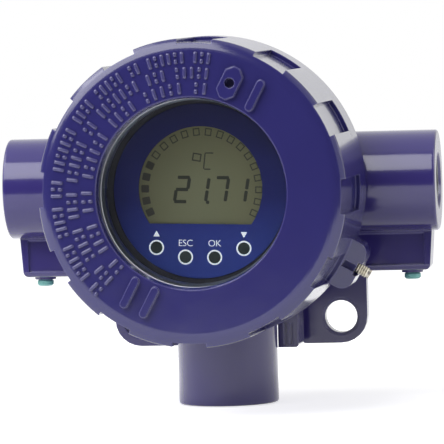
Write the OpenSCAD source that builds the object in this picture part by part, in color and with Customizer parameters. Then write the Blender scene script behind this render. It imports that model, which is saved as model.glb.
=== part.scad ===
/* [Overall] */
// Width over the ends of the two side bosses
body_w = 150; // [146:1:158]
// Depth from the cover's front face to the wall side of the lugs
body_d = 127; // [125:1:134]
// Drop from the cover's axis to the end of the lower boss
boss_drop = 75.9; // [73:0.1:82]

/* [Cover] */
// Radius over the lands at the rear rim
cover_r = 51.8; // [51.4:0.1:53]
// Radius that the lands lose to draft towards the front
cover_draft = 0.8; // [0.2:0.1:1.4]
// Length from the front face to the rear rim
cover_len = 62; // [61:0.5:64]
// Rounding of the front shoulder
shoulder_r = 7; // [5:0.1:9]
// Angle that this rounding runs through, up to the cover's side
shoulder_turn = 42; // [30:1:55]
// Number of raised lands round the cover
land_count = 12; // [8:1:14]
// Height of a land over the gap beside it
land_h = 1.6; // [0.8:0.1:2.2]
// Share of the pitch that a land takes
land_share = 0.56; // [0.45:0.01:0.7]
// Angle of the first gap, seen from the front
gap_turn = -2.5; // [-15:0.5:15]
// Width of the unbroken rim behind the gaps
rim_w = 18; // [16:0.5:22]
// Radius of the window opening
opening_r = 31.1; // [28:0.1:31.5]
// Radius that the opening gains to draft towards the front
opening_draft = 0.4; // [0.2:0.1:1.2]
// Bevel round the window opening
opening_bevel = 0.3; // [0.2:0.1:1]
// Thickness of the front wall over the glass
front_wall = 4.5; // [3.5:0.1:5]
// Angle of the diameter that the wrench ribs flank
rib_turn = 62; // [45:1:80]
// Distance of the wrench ribs' middle from the axis
rib_at = 38.2; // [37.5:0.1:39.5]
// Length of a wrench rib
rib_len = 11; // [8:0.5:12]
// Width of a wrench rib
rib_w = 2.6; // [2:0.1:3.4]
// Height of a wrench rib over the face
rib_h = 1.7; // [0.8:0.1:2.2]
// Offset of the lower ribs from their diameter
rib_off = 3.6; // [2.6:0.1:5]
// Offset of the upper rib and of the wire pad from it
pad_off = 4.6; // [4.2:0.1:6]
// Width of the pad for the sealing wire
pad_w = 6.2; // [5.4:0.1:7]
// Radius of the sealing wire's hole
wire_r = 1.6; // [1:0.1:2]

/* [Cover lock] */
// Angle of the lock lug, seen from the front
lock_turn = -30; // [-45:1:-20]
// Width of the lock lug
lock_w = 17; // [14:0.5:20]
// Distance of the lug's outer face from the axis
lock_r = 57.8; // [56.5:0.1:60]
// Rounding of the lug's outer corners
lock_round = 4; // [2:0.5:5]
// Slope of the lug's front, from the lands outwards
lock_slope = 15; // [5:1:20]
// Width of the groove in the lug's front
lock_slot = 2.4; // [1:0.1:3]
// Depth of that groove at the lands
lock_slot_d = 3; // [2:0.5:4.5]
// Length of the notch that shows the screw at the lug's end
lock_notch = 1.4; // [1:0.2:4]
// Radius of the lock screw
lock_screw_r = 2; // [1.5:0.1:2.2]
// Length of the lock screw
lock_screw_len = 13.4; // [12:0.2:15]
// Travel of the lock screw onto the neck
lock_travel = 2.6; // [1.5:0.1:3]

/* [Window] */
// Thickness of the window glass
glass_t = 9; // [7:0.5:9.5]
// Width of the glass behind the front wall
glass_lap = 5; // [4:0.5:6]
// Thickness of the gasket before the glass
gasket_t = 0.8; // [0.5:0.1:1.2]
// Thickness of the ring that holds the glass
retainer_t = 4.4; // [3:0.2:5]
// Width of that ring
retainer_w = 8.5; // [5:0.5:9]

/* [Thread and seal] */
// Outer radius of the housing's threaded neck
neck_r = 45.1; // [44:0.1:45.4]
// Wall of the neck
neck_wall = 5.1; // [4:0.1:6]
// Depth of the neck's end behind the cover's face
neck_at = 33; // [31:0.5:36]
// Radial gap between the neck and the cover
neck_gap = 0.3; // [0.2:0.05:0.5]
// Section diameter of the O-ring
oring_t = 2; // [1.6:0.1:2.4]

/* [Housing] */
// Outer radius of the can
can_r = 46; // [45.5:0.1:48]
// Radius of the collar behind the cover
collar_r = 49.8; // [48.5:0.1:51]
// Width of that collar
collar_w = 6; // [4:0.5:8]
// Gap between the cover's rim and the collar
joint_gap = 0.5; // [0.3:0.1:1]
// Thickness of the can's floor
floor_t = 9; // [6:0.5:10]
// Rounding of the can's back edge
back_round = 8; // [4:0.5:10]

/* [Bosses] */
// Radius of the three bosses
boss_r = 17.4; // [15:0.1:18]
// Distance of the bosses' axes behind the cover's rim
boss_back = 20; // [19:0.5:23]
// Rounding of a boss's outer edge
boss_round = 0.9; // [0.5:0.1:2]
// Radius of the threaded entry
entry_r = 9.25; // [8.5:0.05:11]
// Length of the threaded entry
entry_len = 20; // [14:1:24]
// Radius of the passage behind the thread
passage_r = 8.2; // [7:0.1:8.4]

/* [Side blocks] */
// Distance of a side block's outer face from the boss's end
block_inset = 2.4; // [1.5:0.1:5]
// Drop from the axis to a side block's underside
block_drop = 31.1; // [28:0.1:34]
// Distance of a side block's front before the bosses' axes
block_fore = 0.5; // [0:0.5:6]
// Thickness of a side block, front to back
block_t = 13; // [11:0.5:18]
// How far a side block's outer face runs in towards its underside
block_taper = 1.2; // [0.4:0.1:2]
// Rounding of a side block's lower edges
block_round = 2; // [1:0.1:3]
// Depth of the sunk panel in a side block's front
panel_sink = 0.8; // [0.4:0.1:1.2]
// Distance of the plugs' axes from the side blocks' outer faces
plug_in = 7.9; // [6:0.1:12]
// Radius of a plug's head
plug_head_r = 2.85; // [2.4:0.05:3.4]
// Thickness of a plug's head
plug_head_t = 2.3; // [1.5:0.1:3]
// Radius of a plug's hole
plug_r = 2.1; // [1.5:0.1:2.2]

/* [Lugs] */
// Span between the two lug holes
hole_span = 72; // [68:0.5:74]
// Radius of a lug hole
hole_r = 5.75; // [4:0.05:6]
// Drop from the cover's axis to the lug holes
hole_drop = 49.2; // [48:0.1:52]
// Thickness of a lug
lug_t = 7; // [5:0.5:9]
// Distance from a lug hole to the lug's outer edges
lug_edge = 9.4; // [8.6:0.1:11]
// Width of a lug
lug_w = 25; // [22:0.5:26]

/* [Display] */
// Depth of the faceplate behind the cover's face
plate_at = 26; // [24:0.5:27]
// Radius of the faceplate
plate_r = 29.2; // [27.8:0.1:29.6]
// Thickness of the faceplate
plate_t = 1.2; // [0.8:0.1:1.5]
// Turn of the display, clockwise from upright, as last set
display_turn = 1.8; // [-20:0.1:20]
// Radius of the visible glass
lcd_r = 20.8; // [19:0.1:21.2]
// Height of the glass's centre over the axis
lcd_up = 0.8; // [0:0.1:1.5]
// Distance from the glass's centre down to its straight edge
lcd_chord = 11.8; // [10.5:0.1:12.2]
// Thickness of the display glass
lcd_t = 2.6; // [1.8:0.1:3]
// Outer radius of the display's case
shell_r = 34; // [33.6:0.1:34.5]
// Wall of the display's case
shell_wall = 2; // [1.5:0.1:2.2]
// Length of the display's case, faceplate to back
shell_len = 27; // [26.5:0.5:28]
// Radius of the hub that the display turns on
hub_r = 10; // [8:0.1:11]
// Running gap round that hub
hub_gap = 0.05; // [0.02:0.01:0.1]

/* [Buttons] */
// Radius of a button
key_r = 1.95; // [1.6:0.05:2.1]
// Travel of a button
key_travel = 0.4; // [0.2:0.05:0.45]
// Gap between a button and its hole
key_gap = 0.1; // [0.05:0.01:0.15]
// Distance of the outer buttons from the middle
key_outer_x = 14.7; // [13:0.1:15.5]
// Drop of the outer buttons under the axis
key_outer_drop = 19; // [18.8:0.1:20]
// Distance of the inner buttons from the middle
key_inner_x = 4.9; // [4:0.1:6]
// Drop of the inner buttons under the axis
key_inner_drop = 22.1; // [21:0.1:23]

/* [Electronics] */
// Thickness of the circuit boards
board_t = 1.6; // [1:0.1:2]
// Radius of the circuit boards
board_r = 30.5; // [29.5:0.1:31]
// Radius of the transmitter
puck_r = 22; // [21:0.5:23]
// Height of the transmitter
puck_h = 22; // [18:0.5:22]
// Share of the free depth behind the carrier that lies behind the transmitter
puck_share = 0.61; // [0.45:0.01:0.65]
// Span between the transmitter's fixing screws
puck_span = 33; // [32:0.5:34]
// Number of terminals on the transmitter
terminal_count = 6; // [4:2:6]
// Thickness of the display's carrier plate
carrier_t = 3; // [2:0.2:3.4]

/* [Hidden] */
// Overrun that every cut shares
over = 1;
// Gap between solids that lie face to face in the casings
seat_gap = 0.2;
// Smallest gap between pieces that move past each other
move_gap = 0.3;
// Radial gap that stands for a screw's thread in its hole
thread_gap = 0.05;
// Steps in a rounded corner of an outline
arc_steps = 6;
fine = 128;
small = 48;

cover_front_r = cover_r - cover_draft;
rim_bevel = land_h / 3;
face_r = cover_front_r - rim_bevel / 2 - shoulder_r * sin(shoulder_turn);
shoulder_d = shoulder_r * (1 - cos(shoulder_turn));
gap_wall_at = cover_len - rim_w;
gap_deg = 360 / land_count * (1 - land_share);
thread_r = neck_r + neck_gap;
glass_r = opening_r + glass_lap;
mouth_r = opening_r + opening_draft;
gasket_at = front_wall;
glass_at = gasket_at + gasket_t + seat_gap;
retainer_at = glass_at + glass_t + seat_gap;
retainer_out_r = glass_r + retainer_w / 3;
retainer_end = retainer_at + retainer_t;
cavity_r = retainer_out_r + seat_gap;
thread_at = neck_at - 5 * joint_gap;
oring_r = neck_r + oring_t / 2 + neck_gap;
groove_r = oring_r + oring_t / 2 + neck_gap;
groove_w = oring_t + 2 * neck_gap;
oring_at = cover_len - rim_bevel - groove_w;
lock_len = rim_w;
lock_at = oring_at - groove_w / 2 - lock_screw_r - 2 * joint_gap;
lock_half = lock_w / 2;
lock_tip_r = neck_r + thread_gap + lock_travel;
lock_socket_r = lock_screw_r / 2;

neck_in_r = neck_r - neck_wall;
collar_at = cover_len + joint_gap;
floor_at = body_d - floor_t;
boss_at = cover_len + boss_back;
boss_end = body_w / 2;

block_end = boss_end - block_inset;
block_root = can_r - back_round / 2;
block_at = boss_at - block_fore;
block_base = boss_r * 0.7;
plug_x = block_end - plug_in;
plug_y = block_at + block_t / 2;
plug_pad_t = 0.9;
plug_len = 3 * plug_r;

lug_x = hole_span / 2;
lug_at = body_d - lug_t;
lug_top = hole_drop - 2.4 * lug_edge;
spot_r = hole_r + lug_edge / 12;
rib_block_x = boss_r - boss_round;
rib_block_w = boss_r * 0.41;
rib_block_at = boss_at + boss_r * 0.6;
rib_block_len = (lug_at - rib_block_at) * 0.63;

lcd_at = plate_at + plate_t + seat_gap;
lcd_edge = 2.6;
lcd_rim_r = lcd_r + lcd_edge;
lcd_rim_chord = lcd_chord + lcd_edge;
shell_face = plate_at + plate_t;
shell_split = shell_face + 5.4 * shell_wall;
shell_back = plate_at + shell_len;
frame_at = lcd_at + lcd_t + seat_gap;
board_at = frame_at + 3 * board_t - 2 * seat_gap;
mat_t = 0.9;
mat_at = board_at - seat_gap - mat_t;
dome_h = 0.3;
key_front = plate_at + key_gap;
key_flange_r = key_r * 1.44;
key_flange_t = 1;
key_flange_at = shell_face + move_gap;
key_end = mat_at - dome_h - key_gap - key_travel;
key_places = [
    [-key_outer_x, -key_outer_drop], [-key_inner_x, -key_inner_drop],
    [key_inner_x, -key_inner_drop], [key_outer_x, -key_outer_drop]
];
screw_post_r = 2.6;
screw_post_at = shell_r - shell_wall - screw_post_r - seat_gap;
case_screw_r = 1.2;
case_head_r = 2.1;
case_head_t = 1.6;
post_turns = [90, 210, 330];
spacer_len = 9;
spacer_r = 2.4;
spacer_at_r = 15;
main_board_at = board_at + board_t + spacer_len;
back_wall = 3;
shoulder_len = 3.7;
carrier_at = shell_back + shoulder_len + move_gap;
carrier_end = carrier_at + carrier_t;
carrier_r = neck_in_r - move_gap;
carrier_post_r = 4.5;
carrier_post_at = neck_in_r - carrier_post_r * 0.85;
carrier_screw_r = 2;
carrier_head_r = 3.5;
carrier_head_t = 2.4;
clip_t = 1;
clip_at = carrier_end + move_gap;
clip_w = 2.6;
clip_seat = 0.8;
hub_end = clip_at + 2.3 * clip_t;
puck_post_h = (floor_at - carrier_end - puck_h) * puck_share;
puck_at = floor_at - puck_post_h - puck_h;
puck_post_r = 4;
puck_screw_r = 2;
puck_head_r = 3.5;
puck_head_t = 2.4;
terminal_at_r = puck_r * 0.75;
terminal_w = 6;
terminal_t = 1;
terminal_head_r = 2.4;
terminal_head_t = 1.6;
terminal_screw_r = 1.4;
earth_turn = 135;
earth_at_r = 31;
earth_post_h = 14;
earth_post_r = 4.5;
earth_at = floor_at - earth_post_h;

// Points of an arc about centre c
function arc(c, r, from, to) =
    [for (i = [0:arc_steps]) let (a = from + (to - from) * i / arc_steps) c + r * [cos(a), sin(a)]];

// Moves the cover's front centre to its place over the lug holes, which are the origin
module placed() {
    translate([0, -body_d, hole_drop])
        children();
}

// Turns local z to run from the front to the wall
module from_front(at) {
    translate([0, at, 0])
        rotate([-90, 0, 0])
            children();
}

// Solid of revolution about the cover's axis, from points of radius and depth
module turned(points) {
    from_front(0)
        rotate_extrude($fn = fine)
            polygon(points);
}

// Rod or disc along the cover's axis at a place seen from the front
module rod(place, r, at, end) {
    translate([place[0], 0, place[1]])
        from_front(at)
            cylinder(r = r, h = end - at, $fn = small);
}

// Turns +X to an angle seen from the front
module aimed(angle) {
    rotate([0, -angle, 0])
        children();
}

// Plate with its outline drawn as seen from the front
module plate(at, t) {
    translate([0, at + t, 0])
        rotate([90, 0, 0])
            linear_extrude(t)
                children();
}

// Bar along X with its outline drawn in depth and height
module bar(from, to) {
    translate([from, 0, 0])
        rotate([90, 0, 90])
            linear_extrude(to - from)
                children();
}

module mirrored() {
    children();
    mirror([1, 0, 0])
        children();
}

// The display's parts share its turn
module display_set() {
    placed()
        rotate([0, display_turn, 0])
            children();
}

// Circle with a straight lower edge
module chord_disc(r, chord) {
    difference() {
        translate([0, lcd_up])
            circle(r = r, $fn = fine);
        translate([-2 * r, lcd_up - chord - 2 * r])
            square([4 * r, 2 * r]);
    }
}

module cover_body() {
    turned(concat(
        [[mouth_r, opening_bevel], [mouth_r + opening_bevel, 0], [face_r, 0]],
        arc([face_r, shoulder_r], shoulder_r, -90, shoulder_turn - 90),
        [
            [cover_front_r, shoulder_d + rim_bevel],
            [cover_r, cover_len - rim_bevel], [cover_r - rim_bevel, cover_len],
            [thread_r, cover_len], [thread_r, oring_at + groove_w / 2],
            [groove_r, oring_at + groove_w / 2], [groove_r, oring_at - groove_w / 2],
            [thread_r, oring_at - groove_w / 2], [thread_r, thread_at], [cavity_r, thread_at],
            [cavity_r, retainer_at], [glass_r + seat_gap, retainer_at],
            [glass_r + seat_gap, gasket_at], [opening_r, gasket_at]
        ]
    ));
}

module cover_gaps() {
    floor_front = cover_front_r - land_h;
    floor_back = floor_front + cover_draft * gap_wall_at / cover_len;
    for (i = [0:land_count - 1])
        aimed(gap_turn + 360 / land_count * i + gap_deg / 2)
            from_front(0)
                rotate_extrude(angle = gap_deg, $fn = fine)
                    polygon([
                        [floor_front, -over], [cover_r + over, -over],
                        [cover_r + over, gap_wall_at], [floor_back, gap_wall_at]
                    ]);
}

module rib(off, len) {
    translate([rib_at, 0, off]) {
        translate([-len / 2 + rib_w / 2, -rib_h, -rib_w / 2])
            cube([len - rib_w, rib_h + over, rib_w]);
        for (side = [-1, 1])
            rod([side * (len - rib_w) / 2, 0], rib_w / 2, -rib_h, over);
    }
}

module wire_pad() {
    half_len = rib_len / 2;
    half_w = pad_w / 2;
    cut = pad_w / 3;
    translate([rib_at, 0, pad_off])
        plate(-rib_h, rib_h + over)
            polygon([
                [-half_len, -half_w + cut], [-half_len + cut, -half_w], [half_len - cut, -half_w],
                [half_len, -half_w + cut], [half_len, half_w - cut], [half_len - cut, half_w],
                [-half_len + cut, half_w], [-half_len, half_w - cut]
            ]);
}

module lock_lug() {
    notch_half = lock_screw_r + move_gap;
    front = cover_len - lock_len;
    slope_r = cover_r - land_h;
    aimed(lock_turn)
        difference() {
            plate(front, lock_len)
                polygon(concat(
                    [[groove_r + seat_gap, -lock_half]],
                    arc([lock_r - lock_round, lock_round - lock_half], lock_round, -90, 0),
                    arc([lock_r - lock_round, lock_half - lock_round], lock_round, 0, 90),
                    [[groove_r + seat_gap, lock_half]]
                ));
            translate([cover_r, front - over, -lock_slot / 2])
                cube([lock_r, lock_slot_d + over, lock_slot]);
            translate([lock_r - lock_notch, front - over, -notch_half])
                cube([lock_notch + over, lock_len * 0.6 + over, 2 * notch_half]);
            linear_extrude(lock_w + 2 * over, center = true)
                polygon([
                    [slope_r, front], [slope_r, front - over], [lock_r + over, front - over],
                    [lock_r + over, front + (lock_r + over - slope_r) * tan(lock_slope)]
                ]);
        }
}

module cover() {
    color("#332f68")
        placed()
            difference() {
                union() {
                    difference() {
                        cover_body();
                        cover_gaps();
                    }
                    aimed(rib_turn) {
                        rib(-pad_off, rib_len);
                        wire_pad();
                    }
                    aimed(rib_turn + 180) {
                        rib(-rib_off, rib_len);
                        rib(rib_off, rib_len);
                    }
                    lock_lug();
                }
                aimed(rib_turn)
                    rod([rib_at, pad_off], wire_r, -rib_h - over, rib_h);
                aimed(lock_turn)
                    translate([neck_r - over, lock_at, 0])
                        rotate([0, 90, 0])
                            cylinder(r = lock_screw_r + thread_gap, h = lock_r, $fn = small);
            }
}

module window_gasket() {
    color("#202022")
        placed()
            turned([
                [opening_r + opening_bevel, gasket_at], [glass_r, gasket_at],
                [glass_r, gasket_at + gasket_t], [opening_r + opening_bevel, gasket_at + gasket_t]
            ]);
}

module window_glass() {
    bevel = gasket_t;
    color("#dfe8ec", 0.4)
        placed()
            turned([
                [0, glass_at], [glass_r - bevel, glass_at], [glass_r, glass_at + bevel],
                [glass_r, glass_at + glass_t - bevel], [glass_r - bevel, glass_at + glass_t],
                [0, glass_at + glass_t]
            ]);
}

module glass_retainer() {
    ring_in_r = retainer_out_r - retainer_w;
    color("#8d9093")
        placed()
            difference() {
                turned([
                    [ring_in_r, retainer_at], [retainer_out_r, retainer_at],
                    [retainer_out_r, retainer_end], [ring_in_r, retainer_end]
                ]);
                for (turn = [0, 90])
                    aimed(turn)
                        translate([-cover_r, retainer_end - retainer_t / 3, -retainer_t / 3])
                            cube([2 * cover_r, retainer_t, retainer_t * 2 / 3]);
            }
}

module cover_oring() {
    color("#1b1b1d")
        placed()
            from_front(oring_at)
                rotate_extrude($fn = fine)
                    translate([oring_r, 0])
                        circle(d = oring_t, $fn = small);
}

module cover_lock_screw() {
    bevel = lock_screw_r / 4;
    color("#c9c7c0")
        placed()
            aimed(lock_turn)
                translate([lock_tip_r, lock_at, 0])
                    rotate([0, 90, 0])
                        difference() {
                            rotate_extrude($fn = small)
                                polygon([
                                    [0, 0], [lock_screw_r - 2 * bevel, 0],
                                    [lock_screw_r, 2 * bevel],
                                    [lock_screw_r, lock_screw_len - bevel],
                                    [lock_screw_r - bevel, lock_screw_len], [0, lock_screw_len]
                                ]);
                            translate([0, 0, lock_screw_len - lock_screw_r])
                                cylinder(r = lock_socket_r, h = lock_screw_r + over, $fn = 6);
                        }
}

module can() {
    front_bevel = neck_gap * 2;
    slope = collar_r - can_r;
    turned(concat(
        [
            [0, neck_at], [neck_r - front_bevel, neck_at], [neck_r, neck_at + front_bevel],
            [neck_r, collar_at], [collar_r, collar_at], [collar_r, collar_at + collar_w],
            [can_r, collar_at + collar_w + slope]
        ],
        arc([can_r - back_round, body_d - back_round], back_round, 0, 90),
        [[0, body_d]]
    ));
}

module can_hollow() {
    inner_round = back_round / 2;
    turned(concat(
        [[0, neck_at - over], [neck_in_r, neck_at - over]],
        arc([neck_in_r - inner_round, floor_at - inner_round], inner_round, 0, 90),
        [[0, floor_at]]
    ));
}

// Boss along +Z of its own, from its root to its rounded end
module boss(root, end) {
    rotate_extrude($fn = fine)
        polygon(concat(
            [[0, root], [boss_r, root]],
            arc([boss_r - boss_round, end - boss_round], boss_round, 0, 90),
            [[0, end]]
        ));
}

module entry(root, end) {
    translate([0, 0, root])
        cylinder(r = passage_r, h = end - root, $fn = fine);
    translate([0, 0, end - entry_len])
        cylinder(r = entry_r, h = entry_len + over, $fn = fine);
    translate([0, 0, end - boss_round])
        cylinder(r1 = entry_r, r2 = entry_r + boss_round + over, h = boss_round + over, $fn = fine);
}

module side_way() {
    translate([0, boss_at, 0])
        rotate([0, 90, 0])
            children();
}

module down_way() {
    translate([0, boss_at, 0])
        rotate([180, 0, 0])
            children();
}

module side_block() {
    r = block_round;
    intersection() {
        bar(block_root, block_end)
            polygon(concat(
                arc([block_at + r, -block_drop + r], r, 180, 270),
                arc([block_at + block_t - r, -block_drop + r], r, 270, 360),
                [[block_at + block_t, -block_base], [block_at, -block_base]]
            ));
        plate(block_at, block_t)
            polygon(concat(
                [[block_root, -block_drop]],
                arc([block_end - block_taper - r, -block_drop + r], r, 270, 360),
                [[block_end, -block_base], [block_root, -block_base]]
            ));
    }
    translate([plug_x, plug_y, -block_drop - plug_pad_t])
        cylinder(r = plug_head_r + plug_pad_t, h = block_round + plug_pad_t, $fn = small);
}

module side_block_cuts() {
    frame_w = block_round;
    panel_end = block_end - block_taper - frame_w;
    panel_root = block_root + 2 * frame_w;
    panel_low = -block_drop + frame_w;
    panel_top = -boss_r - panel_sink;
    translate([panel_root, block_at - over, panel_low])
        cube([panel_end - panel_root, panel_sink + over, panel_top - panel_low]);
    translate([plug_x, plug_y, -block_drop - plug_pad_t - over])
        cylinder(r = plug_r, h = plug_len + 2 * over, $fn = small);
}

module lug() {
    inner = lug_x + lug_edge - lug_w;
    low = -hole_drop - lug_edge;
    r = lug_edge / 3;
    plate(lug_at, lug_t)
        polygon(concat(
            arc([inner + r, low + r], r, 180, 270),
            arc([lug_x, -hole_drop], lug_edge, 270, 360),
            [[lug_x + lug_edge, -lug_top], [inner, -lug_top]]
        ));
}

module lug_cuts() {
    rod([lug_x, -hole_drop], hole_r, lug_at - over, body_d + over);
    rod([lug_x, -hole_drop], spot_r, lug_at - over, lug_at + lug_t / 10);
}

module rib_block() {
    groove = rib_block_w / 7;
    low = -hole_drop - lug_edge * 0.92;
    end = rib_block_x + rib_block_w;
    difference() {
        plate(rib_block_at, rib_block_len)
            polygon(concat(
                [[rib_block_x, -can_r * 0.8], [rib_block_x, low]],
                arc([end - groove, low + groove], groove, 270, 360),
                [[end, -can_r * 0.8]]
            ));
        for (i = [2, 4])
            translate([rib_block_x + i * groove, rib_block_at - over, low + groove])
                cube([groove, over + groove / 2, lug_edge * 0.8]);
    }
}

module housing() {
    color("#3a356f")
        placed()
            difference() {
                union() {
                    difference() {
                        union() {
                            can();
                            mirrored() {
                                side_way()
                                    boss(can_r / 2, boss_end);
                                side_block();
                                lug();
                            }
                            down_way()
                                boss(can_r / 2, boss_drop);
                            rib_block();
                        }
                        can_hollow();
                    }
                    for (turn = post_turns)
                        aimed(turn)
                            rod([carrier_post_at, 0], carrier_post_r, carrier_end, floor_at + over);
                    mirrored()
                        rod([puck_span / 2, 0], puck_post_r, puck_at + puck_h, floor_at + over);
                    aimed(earth_turn)
                        rod([earth_at_r, 0], earth_post_r, earth_at, floor_at + over);
                }
                mirrored() {
                    side_way()
                        entry(neck_in_r - back_round, boss_end);
                    side_block_cuts();
                    lug_cuts();
                    rod([puck_span / 2, 0], puck_screw_r, puck_at + puck_h - over, floor_at - over);
                }
                down_way()
                    entry(neck_in_r - back_round, boss_drop);
                for (turn = post_turns)
                    aimed(turn)
                        rod([carrier_post_at, 0], carrier_screw_r, carrier_end - over,
                            carrier_end + 3 * carrier_post_r);
                aimed(earth_turn)
                    rod([earth_at_r, 0], terminal_screw_r, earth_at - over, earth_at + 2 * earth_post_r);
            }
}

module faceplate() {
    color("#1f2a78")
        display_set()
            difference() {
                plate(plate_at, plate_t)
                    difference() {
                        circle(r = plate_r, $fn = fine);
                        chord_disc(lcd_r, lcd_chord);
                    }
                for (place = key_places)
                    rod(place, key_r + key_gap, plate_at - over, plate_at + plate_t + over);
            }
}

module display_front_shell() {
    in_r = shell_r - shell_wall;
    lip = plate_r + seat_gap;
    lip_at = plate_at + plate_t / 3;
    color("#17181b")
        display_set()
            difference() {
                union() {
                    turned([
                        [0, shell_face], [lip, shell_face], [lip, lip_at],
                        [shell_r - shell_wall / 2, lip_at], [shell_r, lip_at + shell_wall / 2],
                        [shell_r, shell_split], [in_r, shell_split],
                        [in_r, shell_face + shell_wall], [0, shell_face + shell_wall]
                    ]);
                    for (turn = post_turns)
                        aimed(turn)
                            rod([screw_post_at, 0], screw_post_r, shell_face + shell_wall / 2,
                                shell_back - back_wall - seat_gap);
                }
                plate(shell_face - over, shell_wall + 2 * over)
                    chord_disc(lcd_rim_r + seat_gap, lcd_rim_chord + seat_gap);
                for (place = key_places)
                    rod(place, key_flange_r + move_gap, shell_face - over, shell_face + shell_wall + over);
                for (turn = post_turns)
                    aimed(turn)
                        rod([screw_post_at, 0], case_screw_r, shell_split, shell_back);
            }
}

module display_rear_shell() {
    in_r = shell_r - shell_wall;
    hub_shoulder_r = hub_r + 2 * shell_wall;
    lead_r = hub_r * 0.6;
    groove_floor = hub_r - clip_seat;
    color("#1c1d20")
        display_set()
            difference() {
                turned([
                    [lead_r, shell_back - back_wall], [in_r, shell_back - back_wall],
                    [in_r, shell_split + seat_gap], [shell_r, shell_split + seat_gap],
                    [shell_r, shell_back - shell_wall / 2], [shell_r - shell_wall / 2, shell_back],
                    [hub_shoulder_r, shell_back], [hub_shoulder_r, shell_back + shoulder_len],
                    [hub_r, shell_back + shoulder_len], [hub_r, clip_at], [groove_floor, clip_at],
                    [groove_floor, clip_at + clip_t + seat_gap], [hub_r, clip_at + clip_t + seat_gap],
                    [hub_r, hub_end], [lead_r, hub_end]
                ]);
                for (turn = post_turns)
                    aimed(turn) {
                        rod([screw_post_at, 0], case_screw_r + seat_gap, shell_back - back_wall - over,
                            shell_back);
                        rod([screw_post_at, 0], case_head_r + seat_gap, shell_back - case_head_t - seat_gap,
                            shell_back + over);
                    }
            }
}

module lcd_glass() {
    color("#686a50")
        display_set()
            plate(lcd_at, lcd_t)
                chord_disc(lcd_rim_r, lcd_rim_chord);
}

module lcd_frame() {
    color("#2a2b2e")
        display_set()
            plate(frame_at, board_at - seat_gap - frame_at)
                difference() {
                    chord_disc(lcd_rim_r, lcd_rim_chord);
                    chord_disc(lcd_r, lcd_chord);
                }
}

module lcd_contact_strip() {
    strip_w = lcd_r * 1.4;
    strip_t = lcd_edge * 0.8;
    color("#b9577a")
        display_set()
            translate([-strip_w / 2, frame_at, lcd_up - lcd_chord + seat_gap])
                cube([strip_w, board_at - seat_gap - frame_at, strip_t]);
}

module button(index) {
    color("#1d2423")
        display_set() {
            rod(key_places[index], key_r, key_front, key_flange_at + key_flange_t);
            rod(key_places[index], key_flange_r, key_flange_at, key_flange_at + key_flange_t);
            rod(key_places[index], key_r * 0.7, key_flange_at, key_end);
        }
}

module button_up() {
    button(0);
}

module button_esc() {
    button(1);
}

module button_ok() {
    button(2);
}

module button_down() {
    button(3);
}

module button_mat() {
    edge = key_flange_r + mat_t;
    low = -key_inner_drop - edge;
    high = -key_outer_drop + edge;
    color("#3b3d40")
        display_set() {
            translate([-key_outer_x - edge, mat_at, low])
                cube([2 * (key_outer_x + edge), mat_t, high - low]);
            for (place = key_places)
                rod(place, key_r, mat_at - dome_h, mat_at + mat_t);
        }
}

module board(at) {
    difference() {
        from_front(at)
            cylinder(r = board_r, h = board_t, $fn = fine);
        for (turn = post_turns)
            aimed(turn)
                rod([screw_post_at, 0], screw_post_r + 2 * seat_gap, at - over, at + board_t + over);
    }
}

module display_board() {
    color("#1f6b3e")
        display_set()
            board(board_at);
}

module board_spacers() {
    color("#b8a25a")
        display_set()
            for (turn = post_turns)
                aimed(turn + 60)
                    rod([spacer_at_r, 0], spacer_r, board_at + board_t, main_board_at);
}

module main_board() {
    color("#22703f")
        display_set()
            board(main_board_at);
}

module board_chips() {
    chip = 1.2 * spacer_len;
    chip_t = board_t * 0.9;
    color("#19191b")
        display_set()
            for (place = [[-chip * 0.5, chip * 0.3], [chip * 1.1, -chip * 1.4], [-chip * 1.9, -chip * 1.2]])
                translate([place[0], board_at + board_t, place[1]])
                    cube([chip * 0.8, chip_t, chip * 0.8]);
}

module display_screws() {
    color("#9a9a9a")
        display_set()
            for (turn = post_turns)
                aimed(turn) {
                    rod([screw_post_at, 0], case_screw_r - thread_gap, shell_back - back_wall * 3,
                        shell_back - case_head_t);
                    rod([screw_post_at, 0], case_head_r, shell_back - case_head_t, shell_back - seat_gap);
                }
}

module hub_clip() {
    ring_in_r = hub_r - clip_seat + seat_gap;
    color("#8f8f92")
        display_set()
            difference() {
                from_front(clip_at)
                    cylinder(r = hub_r - clip_seat + clip_w, h = clip_t, $fn = fine);
                rod([0, 0], ring_in_r, clip_at - over, clip_at + clip_t + over);
                translate([0, clip_at - over, -clip_w])
                    cube([2 * hub_r, clip_t + 2 * over, 2 * clip_w]);
            }
}

module display_carrier() {
    slot_r = hub_r / 2;
    color("#a9adb1")
        placed()
            difference() {
                from_front(carrier_at)
                    cylinder(r = carrier_r, h = carrier_t, $fn = fine);
                rod([0, 0], hub_r + hub_gap, carrier_at - over, carrier_end + over);
                for (turn = post_turns)
                    aimed(turn) {
                        rod([carrier_post_at, 0], carrier_screw_r + seat_gap, carrier_at - over,
                            carrier_end + over);
                        rod([-carrier_r * 0.6, 0], slot_r, carrier_at - over, carrier_end + over);
                    }
            }
}

module carrier_screws() {
    color("#9a9a9a")
        placed()
            for (turn = post_turns)
                aimed(turn) {
                    rod([carrier_post_at, 0], carrier_head_r, carrier_at - carrier_head_t, carrier_at);
                    rod([carrier_post_at, 0], carrier_screw_r - thread_gap, carrier_at - carrier_head_t,
                        carrier_end + 2 * carrier_post_r);
                }
}

// Angles of the terminals, half of them over the fixing screws and half under
function terminal_turns() =
    let (half = terminal_count / 2, step = 120 / half)
        [for (side = [90, 270]) for (i = [0:half - 1]) side + (i - (half - 1) / 2) * step];

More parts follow.
